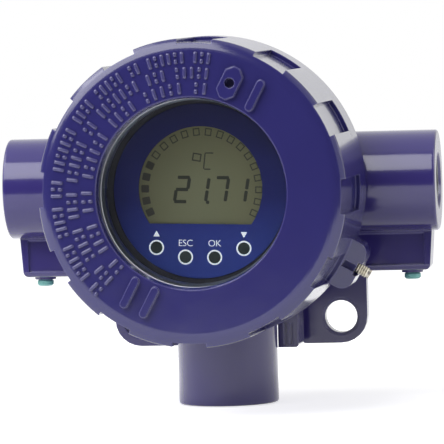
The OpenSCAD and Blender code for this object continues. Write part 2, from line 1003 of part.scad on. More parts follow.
module head_transmitter() {
    edge = puck_h / 12;
    sink = terminal_t * 2;
    color("#24262b")
        placed()
            difference() {
                turned([
                    [0, puck_at], [puck_r - edge, puck_at], [puck_r, puck_at + edge],
                    [puck_r, puck_at + puck_h], [0, puck_at + puck_h]
                ]);
                rod([0, 0], puck_r / 6, puck_at - over, puck_at + puck_h + over);
                for (turn = terminal_turns())
                    aimed(turn) {
                        translate([terminal_at_r - terminal_w / 2, puck_at - over, -terminal_w / 2])
                            cube([puck_r, sink + over, terminal_w]);
                        rod([terminal_at_r, 0], terminal_screw_r + seat_gap, puck_at - over,
                            puck_at + puck_h / 2);
                    }
                mirrored()
                    rod([puck_span / 2, 0], puck_screw_r + seat_gap, puck_at - over,
                        puck_at + puck_h + over);
            }
}

module transmitter_screws() {
    color("#9a9a9a")
        placed()
            mirrored() {
                rod([puck_span / 2, 0], puck_head_r, puck_at - puck_head_t, puck_at);
                rod([puck_span / 2, 0], puck_screw_r - thread_gap, puck_at - puck_head_t,
                    puck_at + puck_h + 2 * puck_post_r);
            }
}

module terminal_clamps() {
    plate_w = terminal_w - 2 * seat_gap;
    sink = terminal_t * 2;
    color("#b59a4c")
        placed()
            for (turn = terminal_turns())
                aimed(turn)
                    difference() {
                        translate([terminal_at_r - plate_w / 2, puck_at + sink - terminal_t, -plate_w / 2])
                            cube([plate_w, terminal_t, plate_w]);
                        rod([terminal_at_r, 0], terminal_screw_r + seat_gap, puck_at - over,
                            puck_at + sink + over);
                    }
}

module terminal_screws() {
    head_end = puck_at + terminal_t;
    color("#8f8f92")
        placed()
            for (turn = terminal_turns())
                aimed(turn)
                    difference() {
                        union() {
                            rod([terminal_at_r, 0], terminal_head_r, head_end - terminal_head_t, head_end);
                            rod([terminal_at_r, 0], terminal_screw_r, head_end - terminal_head_t,
                                puck_at + puck_h / 2 - over);
                        }
                        translate([0, head_end - terminal_head_t - over, -terminal_t / 4])
                            cube([2 * terminal_at_r, over + terminal_head_t / 2, terminal_t / 2]);
                    }
}

module earth_clamp() {
    color("#b59a4c")
        placed()
            aimed(earth_turn)
                difference() {
                    translate([earth_at_r - terminal_w / 2, earth_at - terminal_t, -terminal_w / 2])
                        cube([terminal_w, terminal_t, terminal_w]);
                    rod([earth_at_r, 0], terminal_screw_r + seat_gap, earth_at - terminal_t - over,
                        earth_at + over);
                }
}

module earth_screw() {
    head_end = earth_at - terminal_t;
    color("#8f8f92")
        placed()
            aimed(earth_turn) {
                rod([earth_at_r, 0], terminal_head_r, head_end - terminal_head_t, head_end);
                rod([earth_at_r, 0], terminal_screw_r - thread_gap, head_end - terminal_head_t,
                    earth_at + earth_post_r);
            }
}

module earth_plug() {
    edge = plug_head_t / 4;
    top = -block_drop - plug_pad_t;
    color("#3f9480")
        translate([plug_x, plug_y, top])
            rotate([180, 0, 0])
                rotate_extrude($fn = small)
                    polygon([
                        [0, -plug_len], [plug_r - thread_gap, -plug_len], [plug_r - thread_gap, 0],
                        [plug_head_r - edge, 0], [plug_head_r, edge],
                        [plug_head_r, plug_head_t - edge], [plug_head_r - edge, plug_head_t],
                        [0, plug_head_t]
                    ]);
}

module earth_plug_left() {
    placed()
        mirror([1, 0, 0])
            earth_plug();
}

module earth_plug_right() {
    placed()
        earth_plug();
}

housing();
cover();
window_gasket();
window_glass();
glass_retainer();
cover_oring();
cover_lock_screw();
faceplate();
display_front_shell();
display_rear_shell();
lcd_glass();
lcd_frame();
lcd_contact_strip();
button_up();
button_esc();
button_ok();
button_down();
button_mat();
display_board();
board_spacers();
main_board();
board_chips();
display_screws();
hub_clip();
display_carrier();
carrier_screws();
head_transmitter();
transmitter_screws();
terminal_clamps();
terminal_screws();
earth_clamp();
earth_screw();
earth_plug_left();
earth_plug_right();
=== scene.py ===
"""Finishes, prints, segments and fine pieces for a field indicator in a cast housing."""

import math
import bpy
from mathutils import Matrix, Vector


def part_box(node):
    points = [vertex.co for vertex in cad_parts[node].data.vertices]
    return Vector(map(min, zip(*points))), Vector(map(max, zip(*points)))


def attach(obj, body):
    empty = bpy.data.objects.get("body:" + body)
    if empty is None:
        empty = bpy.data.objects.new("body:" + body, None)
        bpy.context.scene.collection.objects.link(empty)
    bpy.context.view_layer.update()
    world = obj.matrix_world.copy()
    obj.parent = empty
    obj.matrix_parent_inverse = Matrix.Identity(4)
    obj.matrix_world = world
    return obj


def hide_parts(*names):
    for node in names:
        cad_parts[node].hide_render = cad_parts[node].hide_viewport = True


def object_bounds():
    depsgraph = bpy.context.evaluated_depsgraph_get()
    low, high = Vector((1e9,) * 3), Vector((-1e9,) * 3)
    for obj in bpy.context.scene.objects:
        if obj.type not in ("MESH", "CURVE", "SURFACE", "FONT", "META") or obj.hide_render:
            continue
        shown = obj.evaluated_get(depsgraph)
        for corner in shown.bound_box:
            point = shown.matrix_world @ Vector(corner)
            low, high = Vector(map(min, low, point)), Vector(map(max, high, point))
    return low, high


bl_info = {
    "name": "Field Indicator Dress",
    "version": (1, 0, 0),
    "blender": (4, 5, 0),
    "location": "View3D > Sidebar > Indicator",
    "description": "Finishes and fine pieces for a field indicator in a cast housing",
    "category": "Object",
}

import bmesh
import bpy
from bpy.props import FloatProperty, FloatVectorProperty, IntProperty, PointerProperty, StringProperty
from mathutils import Matrix, Quaternion, Vector

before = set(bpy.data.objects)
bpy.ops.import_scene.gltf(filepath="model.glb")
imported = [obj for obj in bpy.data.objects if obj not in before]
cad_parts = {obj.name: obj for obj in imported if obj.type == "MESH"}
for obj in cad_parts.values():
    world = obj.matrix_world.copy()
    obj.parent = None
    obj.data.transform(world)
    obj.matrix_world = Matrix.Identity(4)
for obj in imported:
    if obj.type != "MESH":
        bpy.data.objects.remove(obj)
cad_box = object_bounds()

MM = 0.001
WHITE = (1.0, 1.0, 1.0, 1.0)
# The height of the cover's axis, and the planes that the thin pieces lie on
AXIS_Z = sum(corner[2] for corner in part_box("window_glass")) / 2
FACE_TO_GASKET = 4.5 * MM
FACE_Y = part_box("window_gasket")[0][1] - FACE_TO_GASKET
GLASS_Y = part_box("window_glass")[0][1]
PLATE_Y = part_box("faceplate")[0][1]
LCD_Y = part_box("lcd_glass")[0][1]
# The plane of the three cable entries
FACE_TO_ENTRIES = 82 * MM
ENTRY_Y = FACE_Y + FACE_TO_ENTRIES

KEYS = ("button_up", "button_esc", "button_ok", "button_down")

# Sockets of a Mix node of colours. Its types share their names, and one of plain numbers has 2, 3 and 0
MIX_A, MIX_B, MIXED = 6, 7, 2


# Colours and node trees


def hex_colour(code):
    """The linear colour that a socket wants, from an sRGB hex value."""
    parts = [int(code[place:place + 2], 16) / 255 for place in (1, 3, 5)]
    return tuple(p / 12.92 if p <= 0.04045 else ((p + 0.055) / 1.055) ** 2.4 for p in parts) + (1.0,)


def add(tree, kind, inputs=None, **settings):
    """Adds a node with its settings, and fills or links its inputs."""
    node = tree.nodes.new(kind)
    for name, value in settings.items():
        setattr(node, name, value)
    for name, value in (inputs or {}).items():
        if isinstance(value, bpy.types.NodeSocket):
            tree.links.new(value, node.inputs[name])
        else:
            node.inputs[name].default_value = value
    return node


def new_finish(name, **values):
    """A material of one shader, with the shader's plain values set on its own sockets."""
    finish = bpy.data.materials.new(name)
    finish.use_nodes = True
    tree = finish.node_tree
    tree.nodes.clear()
    shader = add(tree, "ShaderNodeBsdfPrincipled")
    for socket, value in values.items():
        shader.inputs[socket.replace("_", " ")].default_value = value
    add(tree, "ShaderNodeOutputMaterial", {"Surface": shader.outputs["BSDF"]})
    return finish, tree, shader


def link_to(tree, shader, **sources):
    """Feeds sockets of the shader from the outputs of a pattern."""
    for socket, source in sources.items():
        tree.links.new(source, shader.inputs[socket.replace("_", " ")])


def thread_lines(tree, coords, centre, along, radius, start, end, pitch):
    """Where a cut thread lies on a round wall, and its ridges."""
    wall_slack = 0.12 * MM
    offset = add(tree, "ShaderNodeVectorMath", {0: coords, 1: centre}, operation="SUBTRACT").outputs[0]
    axial = add(tree, "ShaderNodeVectorMath", {0: offset, 1: along},
                operation="DOT_PRODUCT").outputs["Value"]
    across = add(tree, "ShaderNodeVectorMath", {0: offset, 1: along}, operation="CROSS_PRODUCT").outputs[0]
    radial = add(tree, "ShaderNodeVectorMath", {0: across}, operation="LENGTH").outputs["Value"]
    reach = add(tree, "ShaderNodeMath", {0: axial}, operation="ABSOLUTE").outputs[0]
    on_wall = add(tree, "ShaderNodeMath", {0: radial, 1: radius, 2: wall_slack},
                  operation="COMPARE").outputs[0]
    in_span = add(tree, "ShaderNodeMath", {0: reach, 1: (start + end) / 2, 2: (end - start) / 2},
                  operation="COMPARE").outputs[0]
    mask = add(tree, "ShaderNodeMath", {0: on_wall, 1: in_span}, operation="MULTIPLY").outputs[0]
    turns = add(tree, "ShaderNodeMath", {0: axial, 1: 2 * math.pi / pitch}, operation="MULTIPLY").outputs[0]
    ridge = add(tree, "ShaderNodeMath", {0: turns}, operation="SINE").outputs[0]
    return mask, add(tree, "ShaderNodeMath", {0: ridge, 1: mask}, operation="MULTIPLY").outputs[0]


def cast_paint(name, colour, threads):
    """Gloss polyurethane on die-cast aluminium: the eye sees soft ripples of the casting, a fine
    orange peel, light lines where the paint rounds the edges, from rounded normals and a painted highlight
    colour, and bare threads."""
    edge_radius = 0.7 * MM
    ripple_size, ripple_depth = 9 * MM, 0.10 * MM
    peel_size, peel_depth = 1.6 * MM, 0.012 * MM
    thread_depth = 0.35 * MM
    shade_size, darker = 30 * MM, 0.82
    # How far the rounded normal agrees with the face's own where the painted edge highlight starts and
    # where it is strongest, and how strong it gets
    agree_full, agree_least, strongest_edge_highlight = 0.97, 0.85, 0.45
    paint_roughness, bare_roughness = 0.2, 0.38
    finish, tree, shader = new_finish(name, Coat_Weight=0.55, Coat_Roughness=0.08)
    coords = add(tree, "ShaderNodeTexCoord").outputs["Object"]
    masks = [thread_lines(tree, coords, *thread) for thread in threads]
    bare, ridges = masks[0]
    for mask, ridge in masks[1:]:
        bare = add(tree, "ShaderNodeMath", {0: bare, 1: mask}, operation="ADD").outputs[0]
        ridges = add(tree, "ShaderNodeMath", {0: ridges, 1: ridge}, operation="ADD").outputs[0]
    edges = add(tree, "ShaderNodeBevel", {"Radius": edge_radius}, samples=6).outputs[0]
    # Ripples of the casting, orange peel of the spray and the cut thread lie on one another
    ripple = add(tree, "ShaderNodeTexNoise", {"Vector": coords, "Scale": 1 / ripple_size,
                                              "Detail": 1.0}).outputs["Fac"]
    rippled = add(tree, "ShaderNodeBump", {"Height": ripple, "Distance": ripple_depth,
                                           "Normal": edges}).outputs[0]
    peel = add(tree, "ShaderNodeTexNoise", {"Vector": coords, "Scale": 1 / peel_size,
                                            "Detail": 2.0}).outputs["Fac"]
    peeled = add(tree, "ShaderNodeBump", {"Height": peel, "Distance": peel_depth,
                                          "Normal": rippled}).outputs[0]
    cut = add(tree, "ShaderNodeBump", {"Height": ridges, "Distance": thread_depth,
                                       "Normal": peeled}).outputs[0]
    shade = add(tree, "ShaderNodeTexNoise", {"Vector": coords, "Scale": 1 / shade_size,
                                             "Detail": 2.0}).outputs["Fac"]
    light, dark = tuple(colour) + (1.0,), tuple(part * darker for part in colour) + (1.0,)
    paint = add(tree, "ShaderNodeMix", {0: shade, MIX_A: light, MIX_B: dark}, data_type="RGBA",
                name="Paint").outputs[MIXED]
    # Painted highlight: the colour turns towards a light lilac over the rounded edges
    own = add(tree, "ShaderNodeNewGeometry").outputs["Normal"]
    agree = add(tree, "ShaderNodeVectorMath", {0: edges, 1: own}, operation="DOT_PRODUCT").outputs["Value"]
    edge_highlight = add(tree, "ShaderNodeMapRange", {"Value": agree, "From Min": agree_full,
                                            "From Max": agree_least, "To Max": strongest_edge_highlight}).outputs[0]
    edge_lit_paint = add(tree, "ShaderNodeMix", {0: edge_highlight, MIX_A: paint, MIX_B: hex_colour("#807CBC")},
                  data_type="RGBA").outputs[MIXED]
    skin = add(tree, "ShaderNodeMix", {0: bare, MIX_A: edge_lit_paint, MIX_B: hex_colour("#9C9EA1")},
               data_type="RGBA").outputs[MIXED]
    rough = add(tree, "ShaderNodeMapRange", {"Value": bare, "To Min": paint_roughness,
                                             "To Max": bare_roughness}).outputs[0]
    link_to(tree, shader, Base_Color=skin, Metallic=bare, Roughness=rough, Normal=cut)
    return finish


def grained(name, light, dark, grain, depth, roughness, rounding=0.0, **values):
    """A plain finish with the grain of how its surface was made: two close colours over patches
    of the grain's size, a bump of the grain, and rounded edges where it has them."""
    variation = 0.2
    finish, tree, shader = new_finish(name, **values)
    coords = add(tree, "ShaderNodeTexCoord").outputs["Object"]
    noise = add(tree, "ShaderNodeTexNoise", {"Vector": coords, "Scale": 1 / grain,
                                             "Detail": 3.0}).outputs["Fac"]
    mixed = add(tree, "ShaderNodeMix", {0: noise, MIX_A: hex_colour(light), MIX_B: hex_colour(dark)},
                data_type="RGBA").outputs[MIXED]
    rough = add(tree, "ShaderNodeMapRange", {"Value": noise, "To Min": roughness * (1 - variation),
                                             "To Max": roughness * (1 + variation)}).outputs[0]
    bump = add(tree, "ShaderNodeBump", {"Height": noise, "Distance": depth})
    if rounding:
        edges = add(tree, "ShaderNodeBevel", {"Radius": rounding}, samples=4).outputs[0]
        tree.links.new(edges, bump.inputs["Normal"])
    link_to(tree, shader, Base_Color=mixed, Roughness=rough, Normal=bump.outputs[0])
    return finish


def turned_metal(name, light, dark, centre, along, roughness):
    """Metal turned on a lathe: fine rings about its axis catch the light, by a bump and by a painted sheen
    that turns the colour light and dark with them. The tool leaves them finer than the render can show, so
    they are drawn 0.4 mm apart."""
    ring_pitch, ring_depth = 0.4 * MM, 0.01 * MM
    finish, tree, shader = new_finish(name, Metallic=1.0, Roughness=roughness)
    coords = add(tree, "ShaderNodeTexCoord").outputs["Object"]
    offset = add(tree, "ShaderNodeVectorMath", {0: coords, 1: centre}, operation="SUBTRACT").outputs[0]
    across = add(tree, "ShaderNodeVectorMath", {0: offset, 1: along}, operation="CROSS_PRODUCT").outputs[0]
    radial = add(tree, "ShaderNodeVectorMath", {0: across}, operation="LENGTH").outputs["Value"]
    turns = add(tree, "ShaderNodeMath", {0: radial, 1: 2 * math.pi / ring_pitch},
                operation="MULTIPLY").outputs[0]
    ring = add(tree, "ShaderNodeMath", {0: turns}, operation="SINE").outputs[0]
    level = add(tree, "ShaderNodeMapRange", {"Value": ring, "From Min": -1.0}).outputs[0]
    # Painted sheen: the colour turns light and dark with each ring
    mixed = add(tree, "ShaderNodeMix", {0: level, MIX_A: hex_colour(light), MIX_B: hex_colour(dark)},
                data_type="RGBA").outputs[MIXED]
    bump = add(tree, "ShaderNodeBump", {"Height": level, "Distance": ring_depth}).outputs[0]
    link_to(tree, shader, Base_Color=mixed, Normal=bump)
    return finish


def clear_glass():
    """Borosilicate window, ground and polished: clear, with a faint cold tint that varies."""
    haze_size, most_haze = 12 * MM, 0.02
    finish, tree, shader = new_finish("borosilicate_window_glass", Transmission_Weight=1.0, IOR=1.47)
    coords = add(tree, "ShaderNodeTexCoord").outputs["Object"]
    haze = add(tree, "ShaderNodeTexNoise", {"Vector": coords, "Scale": 1 / haze_size,
                                            "Detail": 2.0}).outputs["Fac"]
    rough = add(tree, "ShaderNodeMapRange", {"Value": haze, "To Max": most_haze}).outputs[0]
    tint = add(tree, "ShaderNodeMix", {0: haze, MIX_A: hex_colour("#FBFEFF"), MIX_B: hex_colour("#F6FBFC")},
               data_type="RGBA").outputs[MIXED]
    link_to(tree, shader, Base_Color=tint, Roughness=rough)
    return finish


def printed_film():
    """Polyester front film printed from behind in a deep blue, under a smooth glossy skin. A painted
    reflection makes it lighter towards the keys."""
    half_height, deepest = 28 * MM, 0.45
    dot_size, dot_strength = 0.5 * MM, 0.25
    finish, tree, shader = new_finish("printed_polyester_film", Roughness=0.16, Coat_Weight=0.4,
                                      Coat_Roughness=0.05)
    coords = add(tree, "ShaderNodeTexCoord").outputs["Object"]
    place = add(tree, "ShaderNodeSeparateXYZ", {"Vector": coords})
    height = add(tree, "ShaderNodeMapRange", {"Value": place.outputs["Z"], "From Min": AXIS_Z - half_height,
                                              "From Max": AXIS_Z + half_height}).outputs[0]
    # Painted reflection: the blue is lighter at the bottom and darker at the top
    ramp = add(tree, "ShaderNodeValToRGB", {"Fac": height})
    ramp.color_ramp.elements[0].color = hex_colour("#4B60C8")
    ramp.color_ramp.elements[1].color = hex_colour("#353463")
    ramp.color_ramp.elements.new(deepest).color = hex_colour("#353A88")
    dots = add(tree, "ShaderNodeTexNoise", {"Vector": coords, "Scale": 1 / dot_size,
                                            "Detail": 1.0}).outputs["Fac"]
    fade = add(tree, "ShaderNodeMath", {0: dots, 1: dot_strength}, operation="MULTIPLY").outputs[0]
    mixed = add(tree, "ShaderNodeMix", {0: fade, MIX_A: ramp.outputs["Color"], MIX_B: hex_colour("#2C3580")},
                data_type="RGBA").outputs[MIXED]
    link_to(tree, shader, Base_Color=mixed)
    return finish


def lcd_film():
    """Reflective liquid crystal glass under a satin polariser: olive, lifted as painted light for the dim
    window, with painted shade that darkens it from the middle out.
    """
    patch_drop = 2 * MM
    middle = (0.0, LCD_Y, AXIS_Z - patch_drop)
    unshaded_radius, full_shade_radius = 6 * MM, 23 * MM
    cloud_size, cloud_strength = 5 * MM, 0.3
    grain_size, grain_depth = 0.25 * MM, 0.004 * MM
    finish, tree, shader = new_finish("satin_lcd_polariser", Roughness=0.45, Coat_Weight=0.15)
    coords = add(tree, "ShaderNodeTexCoord").outputs["Object"]
    offset = add(tree, "ShaderNodeVectorMath", {0: coords, 1: middle}, operation="SUBTRACT").outputs[0]
    radial = add(tree, "ShaderNodeVectorMath", {0: offset}, operation="LENGTH").outputs["Value"]
    # Painted shade: the olive darkens from the middle out towards the rim
    rim_shade = add(tree, "ShaderNodeMapRange", {"Value": radial, "From Min": unshaded_radius,
                                              "From Max": full_shade_radius}).outputs[0]
    ramp = add(tree, "ShaderNodeValToRGB", {"Fac": rim_shade})
    ramp.color_ramp.elements[0].color = hex_colour("#8B8A68")
    ramp.color_ramp.elements[1].color = hex_colour("#7F7A55")
    cloud = add(tree, "ShaderNodeTexNoise", {"Vector": coords, "Scale": 1 / cloud_size,
                                             "Detail": 2.0}).outputs["Fac"]
    fade = add(tree, "ShaderNodeMath", {0: cloud, 1: cloud_strength}, operation="MULTIPLY").outputs[0]
    mixed = add(tree, "ShaderNodeMix", {0: fade, MIX_A: ramp.outputs["Color"], MIX_B: hex_colour("#8A8562")},
                data_type="RGBA").outputs[MIXED]
    grain = add(tree, "ShaderNodeTexNoise", {"Vector": coords, "Scale": 1 / grain_size,
                                             "Detail": 1.0}).outputs["Fac"]
    bump = add(tree, "ShaderNodeBump", {"Height": grain, "Distance": grain_depth}).outputs[0]
    link_to(tree, shader, Base_Color=mixed, Normal=bump)
    return finish


def circuit_board():
    """Glass-fibre board under green solder mask, with copper tracks that show as lighter lines."""
    track_pitch, track_depth = 6 * MM, 0.03 * MM
    finish, tree, shader = new_finish("green_solder_mask", Roughness=0.35, Coat_Weight=0.3)
    # The board stands across Y, so its tracks are laid out in X and Z
    coords = add(tree, "ShaderNodeTexCoord").outputs["Object"]
    turned = add(tree, "ShaderNodeMapping", {"Vector": coords,
                                             "Rotation": (math.radians(90), 0.0, 0.0)}).outputs[0]
    tracks = add(tree, "ShaderNodeTexBrick", {"Vector": turned, "Scale": 1 / track_pitch,
                                              "Mortar Size": 0.06, "Color1": hex_colour("#164A2B"),
                                              "Color2": hex_colour("#12442A"),
                                              "Mortar": hex_colour("#2B7C4A")})
    bump = add(tree, "ShaderNodeBump", {"Height": tracks.outputs["Fac"], "Distance": track_depth}).outputs[0]
    link_to(tree, shader, Base_Color=tracks.outputs["Color"], Normal=bump)
    return finish


# Modelling


def pick_pieces(*pieces):
    """Selects these pieces and no others, and makes the first of them active."""
    bpy.ops.object.select_all(action="DESELECT")
    for piece in pieces:
        piece.select_set(True)
    if pieces:
        bpy.context.view_layer.objects.active = pieces[0]


def start_piece(name):
    """Names the primitive that was just added, and opens it for editing."""
    piece = bpy.context.active_object
    piece.name = piece.data.name = name
    bpy.ops.object.mode_set(mode="EDIT")
    return piece


def start_plate(name, length, width):
    """Starts a flat piece, its length along X and its width along Y."""
    pick_pieces()
    bpy.ops.mesh.primitive_plane_add(size=1)
    piece = start_piece(name)
    bpy.ops.transform.resize(value=(length, width, 1))
    return piece


def pick_faces(piece, test):
    """Selects the faces of an open mesh that pass a test."""
    bpy.ops.mesh.select_mode(type="FACE")
    bpy.ops.mesh.select_all(action="DESELECT")
    mesh = bmesh.from_edit_mesh(piece.data)
    for face in mesh.faces:
        face.select_set(test(face))
    bmesh.update_edit_mesh(piece.data)


def face_outwards():
    """Turns all faces of an open mesh to the outside."""
    bpy.ops.mesh.select_all(action="SELECT")
    bpy.ops.mesh.normals_make_consistent(inside=False)


def raise_flat(height):
    """Gives a flat outline its thickness towards +Z, and ends its editing."""
    bpy.ops.mesh.select_all(action="SELECT")
    bpy.ops.mesh.extrude_region_move(TRANSFORM_OT_translate={"value": (0, 0, height)})
    face_outwards()
    bpy.ops.object.mode_set(mode="OBJECT")


def open_middle(line):
    """Cuts the middle out of a flat piece, and leaves a line of this width along its edge."""
    bpy.ops.mesh.select_all(action="SELECT")
    bpy.ops.mesh.inset(thickness=line)
    bpy.ops.mesh.delete(type="FACE")


def copy_of(piece, place, angle=0.0):
    """A copy with its own mesh, in the plane of the flat drawing."""
    pick_pieces(piece)
    bpy.ops.object.duplicate(linked=False)
    twin = bpy.context.active_object
    twin.location = (place[0], place[1], 0)
    twin.rotation_euler = (0, 0, angle)
    return twin


def discard(*patterns):
    """Removes pieces that were only there to be copied."""
    for pattern in patterns:
        bpy.data.objects.remove(pattern)


def join_pieces(pieces, name):
    """Makes one piece of several."""
    pick_pieces(*pieces)
    if len(pieces) > 1:
        bpy.ops.object.join()
    joined = bpy.context.active_object
    joined.name = joined.data.name = name
    return joined


def upright(x, y, turn=0.0):
    """Stands a flat drawing up in front of the cover's axis, turned clockwise."""
    return (Matrix.Translation((x, y, AXIS_Z)) @ Matrix.Rotation(turn, 4, "Y")
            @ Matrix.Rotation(math.pi / 2, 4, "X"))


def settle(piece, matrix, body, finish):
    """Moves a piece to its place on the object, and says what it rides on and is made of."""
    pick_pieces(piece)
    bpy.ops.object.transform_apply(location=True, rotation=True, scale=True)
    piece.matrix_world = matrix
    bpy.ops.object.transform_apply(location=True, rotation=True, scale=True)
    piece.data.materials.clear()
    piece.data.materials.append(finish)
    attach(piece, body)
    return piece


def lay_on_display(marks, name, depth_y, finish):
    """Joins flat marks and lays them on the display, turned as the display was left."""
    turn = bpy.context.scene.indicator_display.turn
    settle(join_pieces(marks, name), upright(0, depth_y, turn), "display", finish)


def middle_of(name):
    """The middle of a CAD node's box."""
    low, high = (Vector(corner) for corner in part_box(name))
    return (low + high) / 2


def centre_on_display(name):
    """Where a node's middle lies in the display's own plane."""
    middle = middle_of(name)
    turn = bpy.context.scene.indicator_display.turn
    return Vector((middle.x, middle.z - AXIS_Z)) @ Matrix.Rotation(turn, 2).transposed()


def paint_nodes(finish, *names):
    """Gives CAD nodes their finish."""
    for name in names:
        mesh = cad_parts[name].data
        mesh.materials.clear()
        mesh.materials.append(finish)


# Settings


class IndicatorDisplaySettings(bpy.types.PropertyGroup):
    """Sizes of what the display shows and of what is printed on it."""
    turn: FloatProperty(name="Turn", description="How far the display was left turned, clockwise",
                        subtype="ANGLE", default=math.radians(1.8))
    reading: StringProperty(name="Reading", description="Digits on the display; a point follows its digit",
                            default="21.71")
    digit_height: FloatProperty(name="Digit height", unit="LENGTH", default=8.1 * MM,
                                description="Between the middles of the top and bottom bars")
    digit_width: FloatProperty(name="Digit width", description="Between the middles of the uprights",
                               unit="LENGTH", default=3.9 * MM)
    digit_pitch: FloatProperty(name="Digit pitch", description="From one digit to the next",
                               unit="LENGTH", default=6.57 * MM)
    digit_stroke: FloatProperty(name="Digit stroke", description="Width of a segment",
                                unit="LENGTH", default=1.1 * MM)
    slant: FloatProperty(name="Slant", description="Lean of the digits", subtype="ANGLE",
                         default=math.radians(8.5))
    bar_tiles: IntProperty(name="Bar tiles", description="Number of tiles in the curved bar", default=20)
    bar_filled: IntProperty(name="Filled tiles", description="Number of tiles that are filled", default=5)
    bar_radius: FloatProperty(name="Bar radius", description="From the bar's centre to the middle of a tile",
                              unit="LENGTH", default=19.15 * MM)
    tile: FloatProperty(name="Tile", description="Side of a tile", unit="LENGTH", default=2.5 * MM)
    ring_radius: FloatProperty(name="Ring radius", description="Outer radius of the ring round a key",
                               unit="LENGTH", default=2.53 * MM)
    ring_line: FloatProperty(name="Ring line", description="Width of that ring's line",
                             unit="LENGTH", default=0.5 * MM)
    print_thickness: FloatProperty(name="Print thickness", description="Thickness of ink on the film",
                                   unit="LENGTH", default=0.04 * MM)


class IndicatorCoverSettings(bpy.types.PropertyGroup):
    """The castings' paint, and the raised dashes on the cover's face."""
    # The housing's paint is a little lighter than the cover's, though both bear one paint: painted light on
    # the housing
    housing_paint: FloatVectorProperty(name="Housing paint", description="Colour of the housing",
                                       subtype="COLOR", min=0.0, max=1.0, default=hex_colour("#382F76")[:3])
    cover_paint: FloatVectorProperty(name="Cover paint", description="Colour of the cover",
                                     subtype="COLOR", min=0.0, max=1.0, default=hex_colour("#2D2A6A")[:3])
    dash_length: FloatProperty(name="Dash length", description="Along a dash", unit="LENGTH",
                               default=4.0 * MM)
    dash_width: FloatProperty(name="Dash width", description="Across a dash", unit="LENGTH",
                              default=1.35 * MM)
    dash_height: FloatProperty(name="Dash height", description="How far a dash stands up",
                               unit="LENGTH", default=0.7 * MM)
    row_radius: FloatVectorProperty(name="Row radii", description="From the axis to the middle of each row",
                                    unit="LENGTH", default=(44.6 * MM, 39.6 * MM, 34.6 * MM))


class IndicatorStageSettings(bpy.types.PropertyGroup):
    """The camera and the light."""
    camera_place: FloatVectorProperty(name="Camera", description="Where the camera stands", unit="LENGTH",
                                      default=(0.18335, FACE_Y - 1.30398, AXIS_Z + 0.04632))
    camera_yaw: FloatProperty(name="Yaw", description="Turn of the view to the left",
                              subtype="ANGLE", default=math.radians(7.57))
    camera_pitch: FloatProperty(name="Pitch", description="Tilt of the view downwards",
                                subtype="ANGLE", default=math.radians(2.43))
    camera_roll: FloatProperty(name="Roll", description="Turn of the picture, anticlockwise",
                               subtype="ANGLE", default=math.radians(1.54))
    lens: FloatProperty(name="Lens", description="Focal length on a 36 mm sensor, in mm", default=326.12)
    fill: FloatProperty(name="Fill", description="Level of the light from all round", default=0.3)


# Operators


class INDICATOR_OT_paint_castings(bpy.types.Operator):
    """Paints the housing and the cover, and leaves their threads bare"""
    bl_idname = "indicator.paint_castings"
    bl_label = "Paint Castings"

    def execute(self, context):
        entries = Vector((0, ENTRY_Y, AXIS_Z))
        front = Vector((0, FACE_Y, AXIS_Z))
        entry_radius, entry_pitch, cover_pitch = 9.25 * MM, 1.5 * MM, 2 * MM
        # A thread has a point on its axis, a direction, a radius, a start, an end and a pitch
        side = (entries, (1.0, 0.0, 0.0), entry_radius, 55 * MM, 74.1 * MM, entry_pitch)
        low = (entries, (0.0, 0.0, -1.0), entry_radius, 55.9 * MM, 75 * MM, entry_pitch)
        neck = (front, (0.0, 1.0, 0.0), 45.1 * MM, 33.8 * MM, 62.4 * MM, cover_pitch)
        inside = (front, (0.0, 1.0, 0.0), 45.4 * MM, 30.5 * MM, 57.4 * MM, cover_pitch)
        paints = context.scene.indicator_cover
        paint_nodes(cast_paint("gloss_paint_on_die_cast_housing", paints.housing_paint, (side, low, neck)),
                    "housing")
        paint_nodes(cast_paint("gloss_paint_on_die_cast_cover", paints.cover_paint, (inside,)), "cover")
        return {"FINISHED"}


